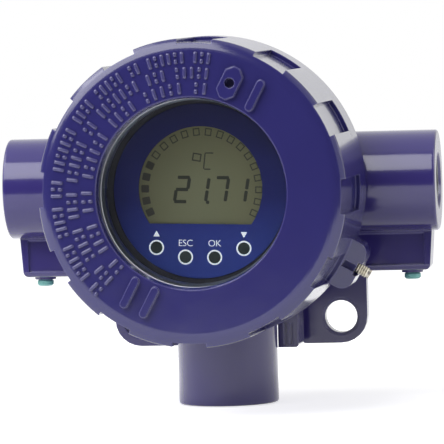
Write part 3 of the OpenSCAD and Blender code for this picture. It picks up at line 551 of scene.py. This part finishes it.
class INDICATOR_OT_raise_dashes(bpy.types.Operator):
    """Raises three rows of plain dashes on the cover's face, cast with it"""
    bl_idname = "indicator.raise_dashes"
    bl_label = "Raise Dashes"

    # Runs of dashes with a gap after each run, from the pad round to the lower ribs
    runs = ((3, 6, 2, 5, 4, 7, 3, 5, 6, 2), (5, 3, 7, 2, 6, 4, 5, 3), (2, 5, 4, 6, 3, 4, 2))
    first_angle, sweep = math.radians(81), math.radians(144)
    # Every third dash is parted in two; shares of a whole dash's length
    short_length, short_offset = 0.42, 0.29
    corner_share = 0.35
    # Steps of the domed back: the share of the height that each rises, and what it narrows to
    dome = ((0.45, 0.9), (0.3, 0.78), (0.17, 0.62), (0.08, 0.4))

    def execute(self, context):
        cover = context.scene.indicator_cover
        whole = self.dash(cover, cover.dash_length)
        short = self.dash(cover, cover.dash_length * self.short_length)
        offset = cover.dash_length * self.short_offset
        dashes = []
        for radius, run in zip(cover.row_radius, self.runs):
            step = self.sweep / (sum(run) + len(run) - 2)
            place = 0
            for count in run:
                for index in range(count):
                    angle = self.first_angle + place * step
                    parts = ((short, -offset), (short, offset)) if index % 3 == 1 else ((whole, 0.0),)
                    for source, shift in parts:
                        place_xy = Vector((math.cos(angle), math.sin(angle))) * (radius + shift)
                        dashes.append(copy_of(source, place_xy, angle))
                    place += 1
                place += 1
        discard(whole, short)
        settle(join_pieces(dashes, "cover_dashes"), upright(0, FACE_Y), "cover_set",
               self.lightened_paint_for_highlights())
        return {"FINISHED"}

    def lightened_paint_for_highlights(self):
        """The cover's paint, a tenth of the way towards a greyish lilac: a painted highlight that makes the
        dashes look lighter and greyer.
        """
        painted_highlight_share = 0.1
        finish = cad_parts["cover"].data.materials[0].copy()
        finish.name = "gloss_paint_lightened_as_painted_highlight_on_raised_dashes"
        # Painted highlight: both paint colours are lightened towards lilac
        for socket in (MIX_A, MIX_B):
            colour = finish.node_tree.nodes["Paint"].inputs[socket]
            colour.default_value = [part * (1 - painted_highlight_share) + lilac * painted_highlight_share
                                    for part, lilac in zip(colour.default_value, hex_colour("#9C99C4"))]
        return finish

    def dash(self, cover, length):
        """A dash with a domed back, as a mark cut in the die leaves it on the casting."""
        dash = start_plate("dash", length, cover.dash_width)
        bpy.ops.mesh.bevel(offset=cover.dash_width * self.corner_share, segments=2, affect="VERTICES")
        bpy.ops.mesh.select_all(action="SELECT")
        for rise, narrow in self.dome:
            bpy.ops.mesh.extrude_region_move(
                TRANSFORM_OT_translate={"value": (0, 0, cover.dash_height * rise)})
            bpy.ops.transform.resize(value=(1 - (1 - narrow) * cover.dash_width / length, narrow, 1))
        face_outwards()
        bpy.ops.object.mode_set(mode="OBJECT")
        bpy.ops.object.shade_smooth_by_angle(angle=math.radians(50))
        return dash


class INDICATOR_OT_print_plate(bpy.types.Operator):
    """Prints the rings, the arrows and the key names on the display's front film"""
    bl_idname = "indicator.print_plate"
    bl_label = "Print Plate"

    arrow_radius, arrow_narrowing = 1.3 * MM, 0.95
    # How far a mark stands above the middle of its key
    up_rise, down_rise, word_rise = 4.35 * MM, 4.8 * MM, 3.65 * MM
    letter_size, letter_spacing, letter_thinning = 3.15 * MM, 0.95, 0.03 * MM

    def execute(self, context):
        display = context.scene.indicator_display
        # Dense screen ink, flat and clear white. It also glows a little, painted light that lifts the marks
        # in the dim light behind the window.
        ink = grained("glowing_white_screen_ink", "#FFFFFF", "#F6F7FA", 0.3 * MM, 0.002 * MM, 0.5,
                      Emission_Color=hex_colour("#E6F0FF"), Emission_Strength=0.52)
        keys = [centre_on_display(name) for name in KEYS]
        up_key, esc_key, ok_key, down_key = keys
        pick_pieces()
        bpy.ops.mesh.primitive_circle_add(vertices=64, radius=display.ring_radius, fill_type="NGON")
        ring = start_piece("ring")
        open_middle(display.ring_line)
        raise_flat(display.print_thickness)
        rings = [copy_of(ring, key) for key in keys]
        discard(ring)
        lay_on_display(rings, "print_rings", PLATE_Y, ink)

        pick_pieces()
        bpy.ops.mesh.primitive_circle_add(vertices=3, radius=self.arrow_radius, fill_type="NGON")
        arrow = start_piece("arrow")
        bpy.ops.transform.resize(value=(self.arrow_narrowing, 1, 1))
        raise_flat(display.print_thickness)
        arrows = [copy_of(arrow, (up_key.x, up_key.y + self.up_rise)),
                  copy_of(arrow, (down_key.x, down_key.y + self.down_rise), math.pi)]
        discard(arrow)
        lay_on_display(arrows, "print_arrows", PLATE_Y, ink)

        words = [self.word("ESC", esc_key, display.print_thickness),
                 self.word("OK", ok_key, display.print_thickness)]
        lay_on_display(words, "print_words", PLATE_Y, ink)
        return {"FINISHED"}

    def word(self, letters, key, thickness):
        """The name over a key, as a flat piece."""
        pick_pieces()
        bpy.ops.object.text_add(location=(key.x, key.y + self.word_rise, 0))
        text = bpy.context.active_object.data
        text.body = letters
        text.size = self.letter_size
        text.align_x = "CENTER"
        text.space_character = self.letter_spacing
        text.extrude = thickness / 2
        text.offset = -self.letter_thinning
        text.resolution_u = 6
        bpy.ops.object.convert(target="MESH")
        return bpy.context.active_object


class INDICATOR_OT_show_reading(bpy.types.Operator):
    """Draws the digits, the unit and the curved bar as segments on the display glass"""
    bl_idname = "indicator.show_reading"
    bl_label = "Show Reading"

    # Lit segments of each digit: t, m and b are the top, middle and bottom ones, u and v the upper left
    # and right ones, x and y the lower left and right ones
    lit = {"0": "tuvxyb", "1": "vy", "2": "tvmxb", "3": "tvmyb", "4": "uvmy", "5": "tumyb", "6": "tumxyb",
           "7": "tvy", "8": "tuvmxyb", "9": "tuvmyb"}
    first_digit = (-6.36 * MM, 0.4 * MM)
    # How much a level segment is longer than the digit is wide, and an upright one shorter than half of it
    level_extra, upright_gap = 0.2 * MM, 0.45 * MM
    corner_cut = 0.25 * MM
    point_side, point_right, point_low = 1.1 * MM, 0.1 * MM, 0.15 * MM
    # The degree sign is a small square, and the letter has an upper bar, an upright and a lower bar
    thin_line = 0.42 * MM
    degree_width, degree_height, degree_place = 3.0 * MM, 2.7 * MM, (-1.45 * MM, 11.2 * MM)
    upper_bar, upper_place = 3.0 * MM, (2.75 * MM, 12.65 * MM)
    back_bar, back_place, back_lean = 5.4 * MM, (1.1 * MM, 9.95 * MM), 0.6
    lower_bar, lower_place = 2.4 * MM, (2.1 * MM, 7.25 * MM)
    # The curved bar of tiles
    bar_centre, bar_sweep = Vector((0.35 * MM, 0.6 * MM)), math.radians(228.6)
    solid_length, open_height, open_line = 1.05, 0.9, 0.36 * MM

    def execute(self, context):
        display = context.scene.indicator_display
        # A driven segment is a soft near-black without gloss
        ink = grained("lit_lcd_segment", "#38382C", "#424235", 0.6 * MM, 0.001 * MM, 0.4)
        # Thin marks let light in from their sides, and look a little paler
        faint = grained("thin_lcd_segment", "#404030", "#4A4A37", 0.6 * MM, 0.001 * MM, 0.4)
        # The wide filled tiles are a brownish black
        brown = grained("filled_lcd_tile", "#45423A", "#4D493C", 0.6 * MM, 0.001 * MM, 0.4)
        lay_on_display(self.digits(display), "lcd_digits", LCD_Y, ink)
        lay_on_display(self.unit(display), "lcd_unit", LCD_Y, faint)
        filled, hollow = self.tiles(display)
        lay_on_display(filled, "lcd_bar_filled", LCD_Y, brown)
        lay_on_display(hollow, "lcd_bar_open", LCD_Y, faint)
        return {"FINISHED"}

    def digits(self, display):
        """The segments of the reading, which leans to the right."""
        thick = display.print_thickness
        half_w, half_h = display.digit_width / 2, display.digit_height / 2
        lean = math.tan(display.slant)
        level = self.strip(display.digit_width + self.level_extra, display.digit_stroke, thick)
        tall = self.strip(half_h - self.upright_gap, display.digit_stroke, thick)
        point = self.strip(self.point_side, self.point_side, thick)
        places = {"t": (level, 0, half_h), "m": (level, 0, 0), "b": (level, 0, -half_h),
                  "u": (tall, -half_w, half_h / 2), "v": (tall, half_w, half_h / 2),
                  "x": (tall, -half_w, -half_h / 2), "y": (tall, half_w, -half_h / 2)}
        segments = []
        centre = Vector(self.first_digit)
        for mark in display.reading:
            if mark == ".":
                # The centre has moved on a pitch from the digit whose lower right corner takes the point
                corner = centre + Vector((half_w + self.point_right - display.digit_pitch,
                                          -half_h - self.point_low))
                segments.append(copy_of(point, corner, -display.slant))
                continue
            for part in self.lit[mark]:
                source, x, y = places[part]
                angle = math.pi / 2 - display.slant if source is tall else 0.0
                segments.append(copy_of(source, (centre.x + x + y * lean, centre.y + y), angle))
            centre.x += display.digit_pitch
        discard(level, tall, point)
        return segments

    def unit(self, display):
        """The degree sign and the letter after it."""
        thick = display.print_thickness
        square = self.frame_square(self.degree_width, self.degree_height, self.thin_line, thick)
        marks = [copy_of(square, self.degree_place, -display.slant)]
        discard(square)
        for length, place, angle in ((self.upper_bar, self.upper_place, 0.0),
                                     (self.back_bar, self.back_place,
                                      math.pi / 2 - display.slant * self.back_lean),
                                     (self.lower_bar, self.lower_place, 0.0)):
            line = self.strip(length, self.thin_line, thick)
            marks.append(copy_of(line, place, angle))
            discard(line)
        return marks

    def tiles(self, display):
        """The filled and the open tiles of the curved bar, from its lower left end."""
        thick = display.print_thickness
        filled, hollow = [], []
        solid = self.strip(display.tile * self.solid_length, display.tile, thick)
        outline = self.frame_square(display.tile, display.tile * self.open_height, self.open_line, thick)
        for index in range(display.bar_tiles):
            share = index / (display.bar_tiles - 1)
            angle = math.pi / 2 + self.bar_sweep * (0.5 - share)
            place = self.bar_centre + Vector((math.cos(angle), math.sin(angle))) * display.bar_radius
            if index < display.bar_filled:
                filled.append(copy_of(solid, place, angle))
            else:
                hollow.append(copy_of(outline, place, angle))
        discard(solid, outline)
        return filled, hollow

    def strip(self, length, width, height):
        """A segment along X with cut corners."""
        piece = start_plate("segment", length, width)
        bpy.ops.mesh.bevel(offset=self.corner_cut, segments=1, affect="VERTICES")
        raise_flat(height)
        return piece

    def frame_square(self, width, height, line, thick):
        """The outline of a tile."""
        piece = start_plate("tile", width, height)
        open_middle(line)
        raise_flat(thick)
        return piece


class INDICATOR_OT_thread_lock_screw(bpy.types.Operator):
    """Makes the cover's lock screw as a threaded set screw with a hexagon socket"""
    bl_idname = "indicator.thread_lock_screw"
    bl_label = "Thread Lock Screw"

    # The crest clears the cover's hole at every pose
    crest_radius, length, pitch, thread_depth = 1.94 * MM, 13.4 * MM, 0.8 * MM, 0.38 * MM
    tip_share, end_share = 0.45, 0.6
    socket_radius, socket_depth = 1.15 * MM, 2 * MM
    weld_distance = 0.01 * MM

    def execute(self, context):
        screw = self.threaded_body()
        self.cut_socket(screw)
        middle = middle_of("cover_lock_screw")
        outward = Vector((middle.x, 0, middle.z - AXIS_Z)).normalized()
        turn = Vector((0, 0, 1)).rotation_difference(outward).to_matrix().to_4x4()
        start = middle - outward * (self.length / 2)
        # Zinc plate over the turned thread: bright and slightly warm, with a painted light line on each crest
        steel = turned_metal("zinc_plated_turned_steel", "#F2EDDC", "#D9D3C2", middle, outward, 0.34)
        piece = settle(screw, Matrix.Translation(start) @ turn, "lock_screw", steel)
        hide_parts("cover_lock_screw")
        return {"FINISHED"}

    def outline(self):
        """Radius and height from the tip out, over crests and roots, and in to the socket end's middle."""
        root_radius = self.crest_radius - self.thread_depth
        points = [(self.crest_radius * self.tip_share, 0), (root_radius, self.pitch * 0.5)]
        turn = 1
        while (turn + 1) * self.pitch < self.length:
            points += [(self.crest_radius, turn * self.pitch), (root_radius, (turn + 0.5) * self.pitch)]
            turn += 1
        return points + [(self.crest_radius - self.thread_depth * self.end_share, self.length),
                         (0, self.length)]

    def threaded_body(self):
        """Draws the outline from a point at the tip's middle, and spins it about Z."""
        pick_pieces()
        bpy.ops.mesh.primitive_plane_add(size=1)
        screw = start_piece("lock_screw_threaded")
        bpy.ops.mesh.merge(type="CENTER")
        last = (0.0, 0.0)
        for point in self.outline():
            bpy.ops.mesh.extrude_region_move(
                TRANSFORM_OT_translate={"value": (point[0] - last[0], 0, point[1] - last[1])})
            last = point
        bpy.ops.mesh.select_all(action="SELECT")
        bpy.ops.mesh.spin(steps=32, angle=2 * math.pi, center=(0, 0, 0), axis=(0, 0, 1))
        bpy.ops.mesh.select_all(action="SELECT")
        bpy.ops.mesh.remove_doubles(threshold=self.weld_distance)
        face_outwards()
        bpy.ops.object.mode_set(mode="OBJECT")
        return screw

    def cut_socket(self, screw):
        """Cuts the hexagon into the outer end."""
        pick_pieces()
        bpy.ops.mesh.primitive_cylinder_add(vertices=6, radius=self.socket_radius,
                                            depth=2 * self.socket_depth, location=(0, 0, self.length))
        socket = bpy.context.active_object
        pick_pieces(screw)
        cut = screw.modifiers.new("socket", "BOOLEAN")
        cut.operation = "DIFFERENCE"
        cut.solver = "EXACT"
        cut.object = socket
        bpy.ops.object.modifier_apply(modifier=cut.name)
        discard(socket)


class INDICATOR_OT_dress_window(bpy.types.Operator):
    """Gives the glass, its gasket and its ring their finishes, and lays the sealing bead whose off-white
    paints a highlight
    """
    bl_idname = "indicator.dress_window"
    bl_label = "Dress Window"

    # The bead lies a little off centre, so it shows at the glass's left and is hidden at its right. Its
    # off-white is a painted highlight along the wall's lower corner at the left.
    bead_radius, bead_half_width, bead_shift = 31.2 * MM, 0.19 * MM, 0.45 * MM
    bead_stand, bead_flat = 0.17 * MM, 0.1 * MM

    def execute(self, context):
        paint_nodes(clear_glass(), "window_glass")
        # Matt rubber: a soft dark ring behind the glass
        rubber = grained("moulded_epdm_rubber", "#26282C", "#313339", 0.4 * MM, 0.01 * MM, 0.7)
        paint_nodes(rubber, "window_gasket")
        # Bare turned ring: pale bluish grey, lifted as painted light for the dim window, with a painted sheen
        # that runs round it
        ring = turned_metal("turned_aluminium_ring", "#C6CBDA", "#AEB3C4", (0.0, FACE_Y, AXIS_Z),
                            (0.0, 1.0, 0.0), 0.3)
        paint_nodes(ring, "glass_retainer")
        # Oiled nitrile: black with a soft shine
        nitrile = grained("moulded_nitrile_rubber", "#0F0F10", "#1A1A1C", 0.3 * MM, 0.005 * MM, 0.4)
        paint_nodes(nitrile, "cover_oring")
        self.lay_highlight_bead()
        return {"FINISHED"}

    def lay_highlight_bead(self):
        """A bead of sealing compound in the corner between the front wall and the glass, whose off-white is a
        painted highlight.
        """
        pick_pieces()
        bpy.ops.mesh.primitive_torus_add(major_segments=128, minor_segments=10,
                                         major_radius=self.bead_radius, minor_radius=self.bead_half_width)
        bead = start_piece("window_bead")
        # Flattened where it lies on the glass
        pick_faces(bead, lambda face: face.calc_center_median().z < -self.bead_flat)
        bpy.ops.transform.resize(value=(1, 1, 0))
        bpy.ops.object.mode_set(mode="OBJECT")
        bpy.ops.object.shade_smooth_by_angle(angle=math.radians(40))
        # Wiped by hand: off-white and satin, with the lumps that the finger leaves. The off-white is a
        # painted highlight.
        compound = grained("sealing_compound_as_painted_highlight", "#E6E8F0", "#CDD0DC", 1.5 * MM, 0.02 * MM, 0.32)
        settle(bead, upright(self.bead_shift, GLASS_Y - self.bead_stand), "cover_set",
               compound)


class INDICATOR_OT_dress_display(bpy.types.Operator):
    """Gives the display's film, glass, case, keys and boards their finishes"""
    bl_idname = "indicator.dress_display"
    bl_label = "Dress Display"

    def execute(self, context):
        paint_nodes(printed_film(), "faceplate")
        paint_nodes(lcd_film(), "lcd_glass")
        # The spark-eroded mould leaves an even matt grain, and the edges catch a soft light. Its black is
        # lifted to a dark grey as painted light for the dim window.
        case = grained("spark_textured_black_abs", "#44424C", "#504E59", 0.5 * MM, 0.02 * MM, 0.55,
                       rounding=0.4 * MM)
        paint_nodes(case, "display_front_shell", "display_rear_shell")
        # Smooth moulding: black with a dull shine
        acetal = grained("moulded_black_acetal", "#1E1F22", "#28292C", 0.8 * MM, 0.01 * MM, 0.4)
        paint_nodes(acetal, "lcd_frame")
        # Silicone in fine layers: pink with darker specks
        elastomer = grained("pink_contact_elastomer", "#B9577A", "#8E3B5B", 0.2 * MM, 0.01 * MM, 0.6)
        paint_nodes(elastomer, "lcd_contact_strip")
        # Moulded keys: a dark greenish rubber with a mottle of light points
        key = grained("silicone_key_rubber", "#2A3636", "#414E4C", 0.55 * MM, 0.05 * MM, 0.55,
                      rounding=0.3 * MM)
        paint_nodes(key, *KEYS)
        # The mat behind the keys is of the same rubber, in a flat dark grey
        mat = grained("grey_silicone_mat", "#3C4043", "#484C50", 0.8 * MM, 0.01 * MM, 0.65)
        paint_nodes(mat, "button_mat")
        paint_nodes(circuit_board(), "display_board", "main_board")
        # Turned and left bright: yellow with a clean shine
        brass = grained("turned_brass", "#C9A94F", "#B0913F", 0.5 * MM, 0.004 * MM, 0.3, Metallic=1.0)
        paint_nodes(brass, "board_spacers")
        # Moulded chips: dull black with a fine grain
        epoxy = grained("moulded_epoxy_chip", "#121213", "#1B1B1D", 0.3 * MM, 0.01 * MM, 0.6)
        paint_nodes(epoxy, "board_chips")
        return {"FINISHED"}


class INDICATOR_OT_dress_inside(bpy.types.Operator):
    """Gives the carrier, the transmitter, the screws, the clamps and the plugs their finishes"""
    bl_idname = "indicator.dress_inside"
    bl_label = "Dress Inside"

    def execute(self, context):
        # Clear zinc plate: bright, and slightly yellow in patches
        steel = grained("zinc_plated_steel", "#C9C6BC", "#AFABA0", 1.2 * MM, 0.004 * MM, 0.3, Metallic=1.0)
        paint_nodes(steel, "display_screws", "carrier_screws", "transmitter_screws", "terminal_screws",
                    "earth_screw")
        # Hardened and oiled: a dark bluish metal
        spring = grained("blued_spring_steel", "#6E7076", "#55575C", 1.0 * MM, 0.004 * MM, 0.35, Metallic=1.0)
        paint_nodes(spring, "hub_clip")
        # Rolled and stamped: pale and satin, with edges that the die has rounded
        sheet = grained("stamped_aluminium_sheet", "#B4B7BA", "#9FA2A6", 2.5 * MM, 0.008 * MM, 0.35,
                        Metallic=1.0, rounding=0.3 * MM)
        paint_nodes(sheet, "display_carrier")
        # Moulded block: black, with a faint grain and soft edges
        polyamide = grained("moulded_black_polyamide", "#1B1D21", "#26292E", 0.7 * MM, 0.02 * MM, 0.5,
                            rounding=0.3 * MM)
        paint_nodes(polyamide, "head_transmitter")
        # Plated clamps: a pale gold where the nickel is thin
        clamp = grained("nickel_plated_brass", "#BFA866", "#A8914F", 0.8 * MM, 0.004 * MM, 0.32, Metallic=1.0)
        paint_nodes(clamp, "terminal_clamps", "earth_clamp")
        # Moulded caps: a milky green with a waxy shine
        plug = grained("moulded_green_polyethylene", "#88CAC4", "#74B6AF", 0.9 * MM, 0.01 * MM, 0.35,
                       rounding=0.3 * MM)
        paint_nodes(plug, "earth_plug_left", "earth_plug_right")
        return {"FINISHED"}


class INDICATOR_OT_set_stage(bpy.types.Operator):
    """Sets the floor, the light and the camera"""
    bl_idname = "indicator.set_stage"
    bl_label = "Set Stage"

    # The floor lies just under the object, and ends in front of it so that the window doesn't mirror it
    floor_gap, floor_centre_y, floor_size = 0.2 * MM, 0.6, (4, 2.2)
    # How white the floor is by itself: seen by the camera, and in gloss and glass
    floor_seen, floor_mirrored = 0.66, 0.42
    # Gloss shows the room dim in front of the object, more so on its left, and bright behind it
    behind, dim_until, bright_from, dim, bright = (0.33, 1.0, 0.0), -0.46, -0.3, 0.06, 0.85
    lamps_aim = (0, -0.06, 0.04)

    def execute(self, context):
        stage = context.scene.indicator_stage
        self.lay_floor()
        self.set_world(stage.fill)
        self.soft_box("overhead_soft_box", (-0.66, -0.2, 0.9), (0.65, 0.6), 3.2)
        self.soft_box("right_soft_box", (1.05, -0.05, 0.55), (0.5, 0.6), 2.5)
        # A wide box up to the left of the camera leans, and the entries mirror its lower edge as a crisp
        # line
        self.soft_box("front_soft_box", (-0.56, -0.84, 0.87), (1.38, 0.93), 17.0, math.radians(22))
        self.place_camera(stage)
        context.scene.view_settings.view_transform = "Standard"
        return {"FINISHED"}

    def lay_floor(self):
        """White studio floor: it takes the object's shadow, and shows and reflects white."""
        pick_pieces()
        bpy.ops.mesh.primitive_plane_add(size=1, location=(0, self.floor_centre_y,
                                                           cad_box[0][2] - self.floor_gap))
        floor = bpy.context.active_object
        floor.name = "studio_floor"
        floor.scale = (*self.floor_size, 1)
        bpy.ops.object.transform_apply(location=True, rotation=True, scale=True)
        # Matt white paint, which takes a soft shadow
        finish, tree, shader = new_finish("white_studio_floor", Roughness=0.8, Specular_IOR_Level=0.0,
                                          Base_Color=hex_colour("#F2F2F3"), Emission_Color=WHITE)
        straight, bent, _ = self.light_paths(tree)
        mirrored = add(tree, "ShaderNodeMath", {0: bent, 1: self.floor_mirrored},
                       operation="MULTIPLY").outputs[0]
        seen = add(tree, "ShaderNodeMath", {0: straight, 1: self.floor_seen},
                   operation="MULTIPLY").outputs[0]
        lift = add(tree, "ShaderNodeMath", {0: seen, 1: mirrored}, operation="MAXIMUM").outputs[0]
        link_to(tree, shader, Emission_Strength=lift)
        floor.data.materials.append(finish)

    def light_paths(self, tree):
        """What the camera sees straight, what it sees by way of gloss or glass, and how many dull
        surfaces have passed the light on."""
        path = add(tree, "ShaderNodeLightPath").outputs
        bent = add(tree, "ShaderNodeMath", {0: path["Is Glossy Ray"], 1: path["Is Transmission Ray"]},
                   operation="MAXIMUM").outputs[0]
        return path["Is Camera Ray"], bent, path["Diffuse Depth"]

    def set_world(self, fill):
        """Even light from all round; the background itself is white."""
        world = bpy.data.worlds.new("studio_surround")
        bpy.context.scene.world = world
        world.use_nodes = True
        tree = world.node_tree
        tree.nodes.clear()
        straight, bent, depth = self.light_paths(tree)
        direction = add(tree, "ShaderNodeTexCoord").outputs["Generated"]
        facing = add(tree, "ShaderNodeVectorMath", {0: direction, 1: self.behind},
                     operation="DOT_PRODUCT").outputs["Value"]
        room = add(tree, "ShaderNodeMapRange", {"Value": facing, "From Min": self.dim_until,
                                                "From Max": self.bright_from, "To Min": self.dim,
                                                "To Max": self.bright},
                   interpolation_type="SMOOTHSTEP").outputs[0]
        mirrored = add(tree, "ShaderNodeMath", {0: bent, 1: room}, operation="MULTIPLY").outputs[0]
        shown = add(tree, "ShaderNodeMath", {0: mirrored, 1: straight}, operation="MAXIMUM").outputs[0]
        # Once a dull surface has passed the light on, it is even, also where it comes through the window
        dull = add(tree, "ShaderNodeMath", {0: depth, 1: 0.5}, operation="GREATER_THAN").outputs[0]
        level = add(tree, "ShaderNodeMix", {0: dull, 2: shown, 3: fill}).outputs[0]
        shade = add(tree, "ShaderNodeBackground", {"Color": WHITE, "Strength": level})
        add(tree, "ShaderNodeOutputWorld", {"Surface": shade.outputs[0]})

    def soft_box(self, name, place, size, power, lean=0.0):
        """A lamp that faces the object, turned about its own axis by its lean."""
        pick_pieces()
        bpy.ops.object.light_add(type="AREA", location=place)
        lamp = bpy.context.active_object
        lamp.name = lamp.data.name = name
        lamp.data.shape = "RECTANGLE"
        lamp.data.size, lamp.data.size_y = size
        lamp.data.energy = power
        lamp.visible_camera = False
        aimed = (Vector(self.lamps_aim) - Vector(place)).to_track_quat("-Z", "Y")
        lamp.rotation_euler = (aimed @ Quaternion((0, 0, 1), lean)).to_euler()

    def place_camera(self, stage):
        """Stands the camera where the photograph was taken from."""
        yaw, pitch, roll = stage.camera_yaw, stage.camera_pitch, stage.camera_roll
        forward = Vector((-math.sin(yaw) * math.cos(pitch), math.cos(yaw) * math.cos(pitch),
                          -math.sin(pitch)))
        level = Vector((math.cos(yaw), math.sin(yaw), 0))
        rise = level.cross(forward)
        right = level * math.cos(roll) - rise * math.sin(roll)
        up = rise * math.cos(roll) + level * math.sin(roll)
        bpy.ops.object.camera_add(location=stage.camera_place)
        camera = bpy.context.active_object
        camera.name = "photo_camera"
        camera.rotation_euler = Matrix((right, up, -forward)).transposed().to_euler()
        camera.data.sensor_width = 36
        camera.data.lens = stage.lens
        camera.data.clip_start, camera.data.clip_end = 0.05, 50
        bpy.context.scene.camera = camera


class INDICATOR_PT_dress(bpy.types.Panel):
    """Lists the settings, and the steps that dress the indicator"""
    bl_label = "Indicator"
    bl_idname = "INDICATOR_PT_dress"
    bl_space_type = "VIEW_3D"
    bl_region_type = "UI"
    bl_category = "Indicator"

    def draw(self, context):
        for group in SETTINGS:
            settings = getattr(context.scene, group)
            box = self.layout.box()
            for name in settings.bl_rna.properties.keys():
                if name not in ("rna_type", "name"):
                    box.prop(settings, name)
        for step in STEPS:
            self.layout.operator(step.bl_idname)


STEPS = (
    INDICATOR_OT_paint_castings,
    INDICATOR_OT_raise_dashes,
    INDICATOR_OT_print_plate,
    INDICATOR_OT_show_reading,
    INDICATOR_OT_thread_lock_screw,
    INDICATOR_OT_dress_window,
    INDICATOR_OT_dress_display,
    INDICATOR_OT_dress_inside,
    INDICATOR_OT_set_stage,
)
SETTINGS = {
    "indicator_display": IndicatorDisplaySettings,
    "indicator_cover": IndicatorCoverSettings,
    "indicator_stage": IndicatorStageSettings,
}
CLASSES = (*SETTINGS.values(), *STEPS, INDICATOR_PT_dress)


def register():
    for part in CLASSES:
        bpy.utils.register_class(part)
    for name, group in SETTINGS.items():
        setattr(bpy.types.Scene, name, PointerProperty(type=group))


def unregister():
    for name in SETTINGS:
        delattr(bpy.types.Scene, name)
    for part in reversed(CLASSES):
        bpy.utils.unregister_class(part)


def main():
    register()
    bpy.ops.indicator.paint_castings()
    bpy.ops.indicator.raise_dashes()
    bpy.ops.indicator.print_plate()
    bpy.ops.indicator.show_reading()
    bpy.ops.indicator.thread_lock_screw()
    bpy.ops.indicator.dress_window()
    bpy.ops.indicator.dress_display()
    bpy.ops.indicator.dress_inside()
    bpy.ops.indicator.set_stage()


if __name__ == "__main__":
    main()
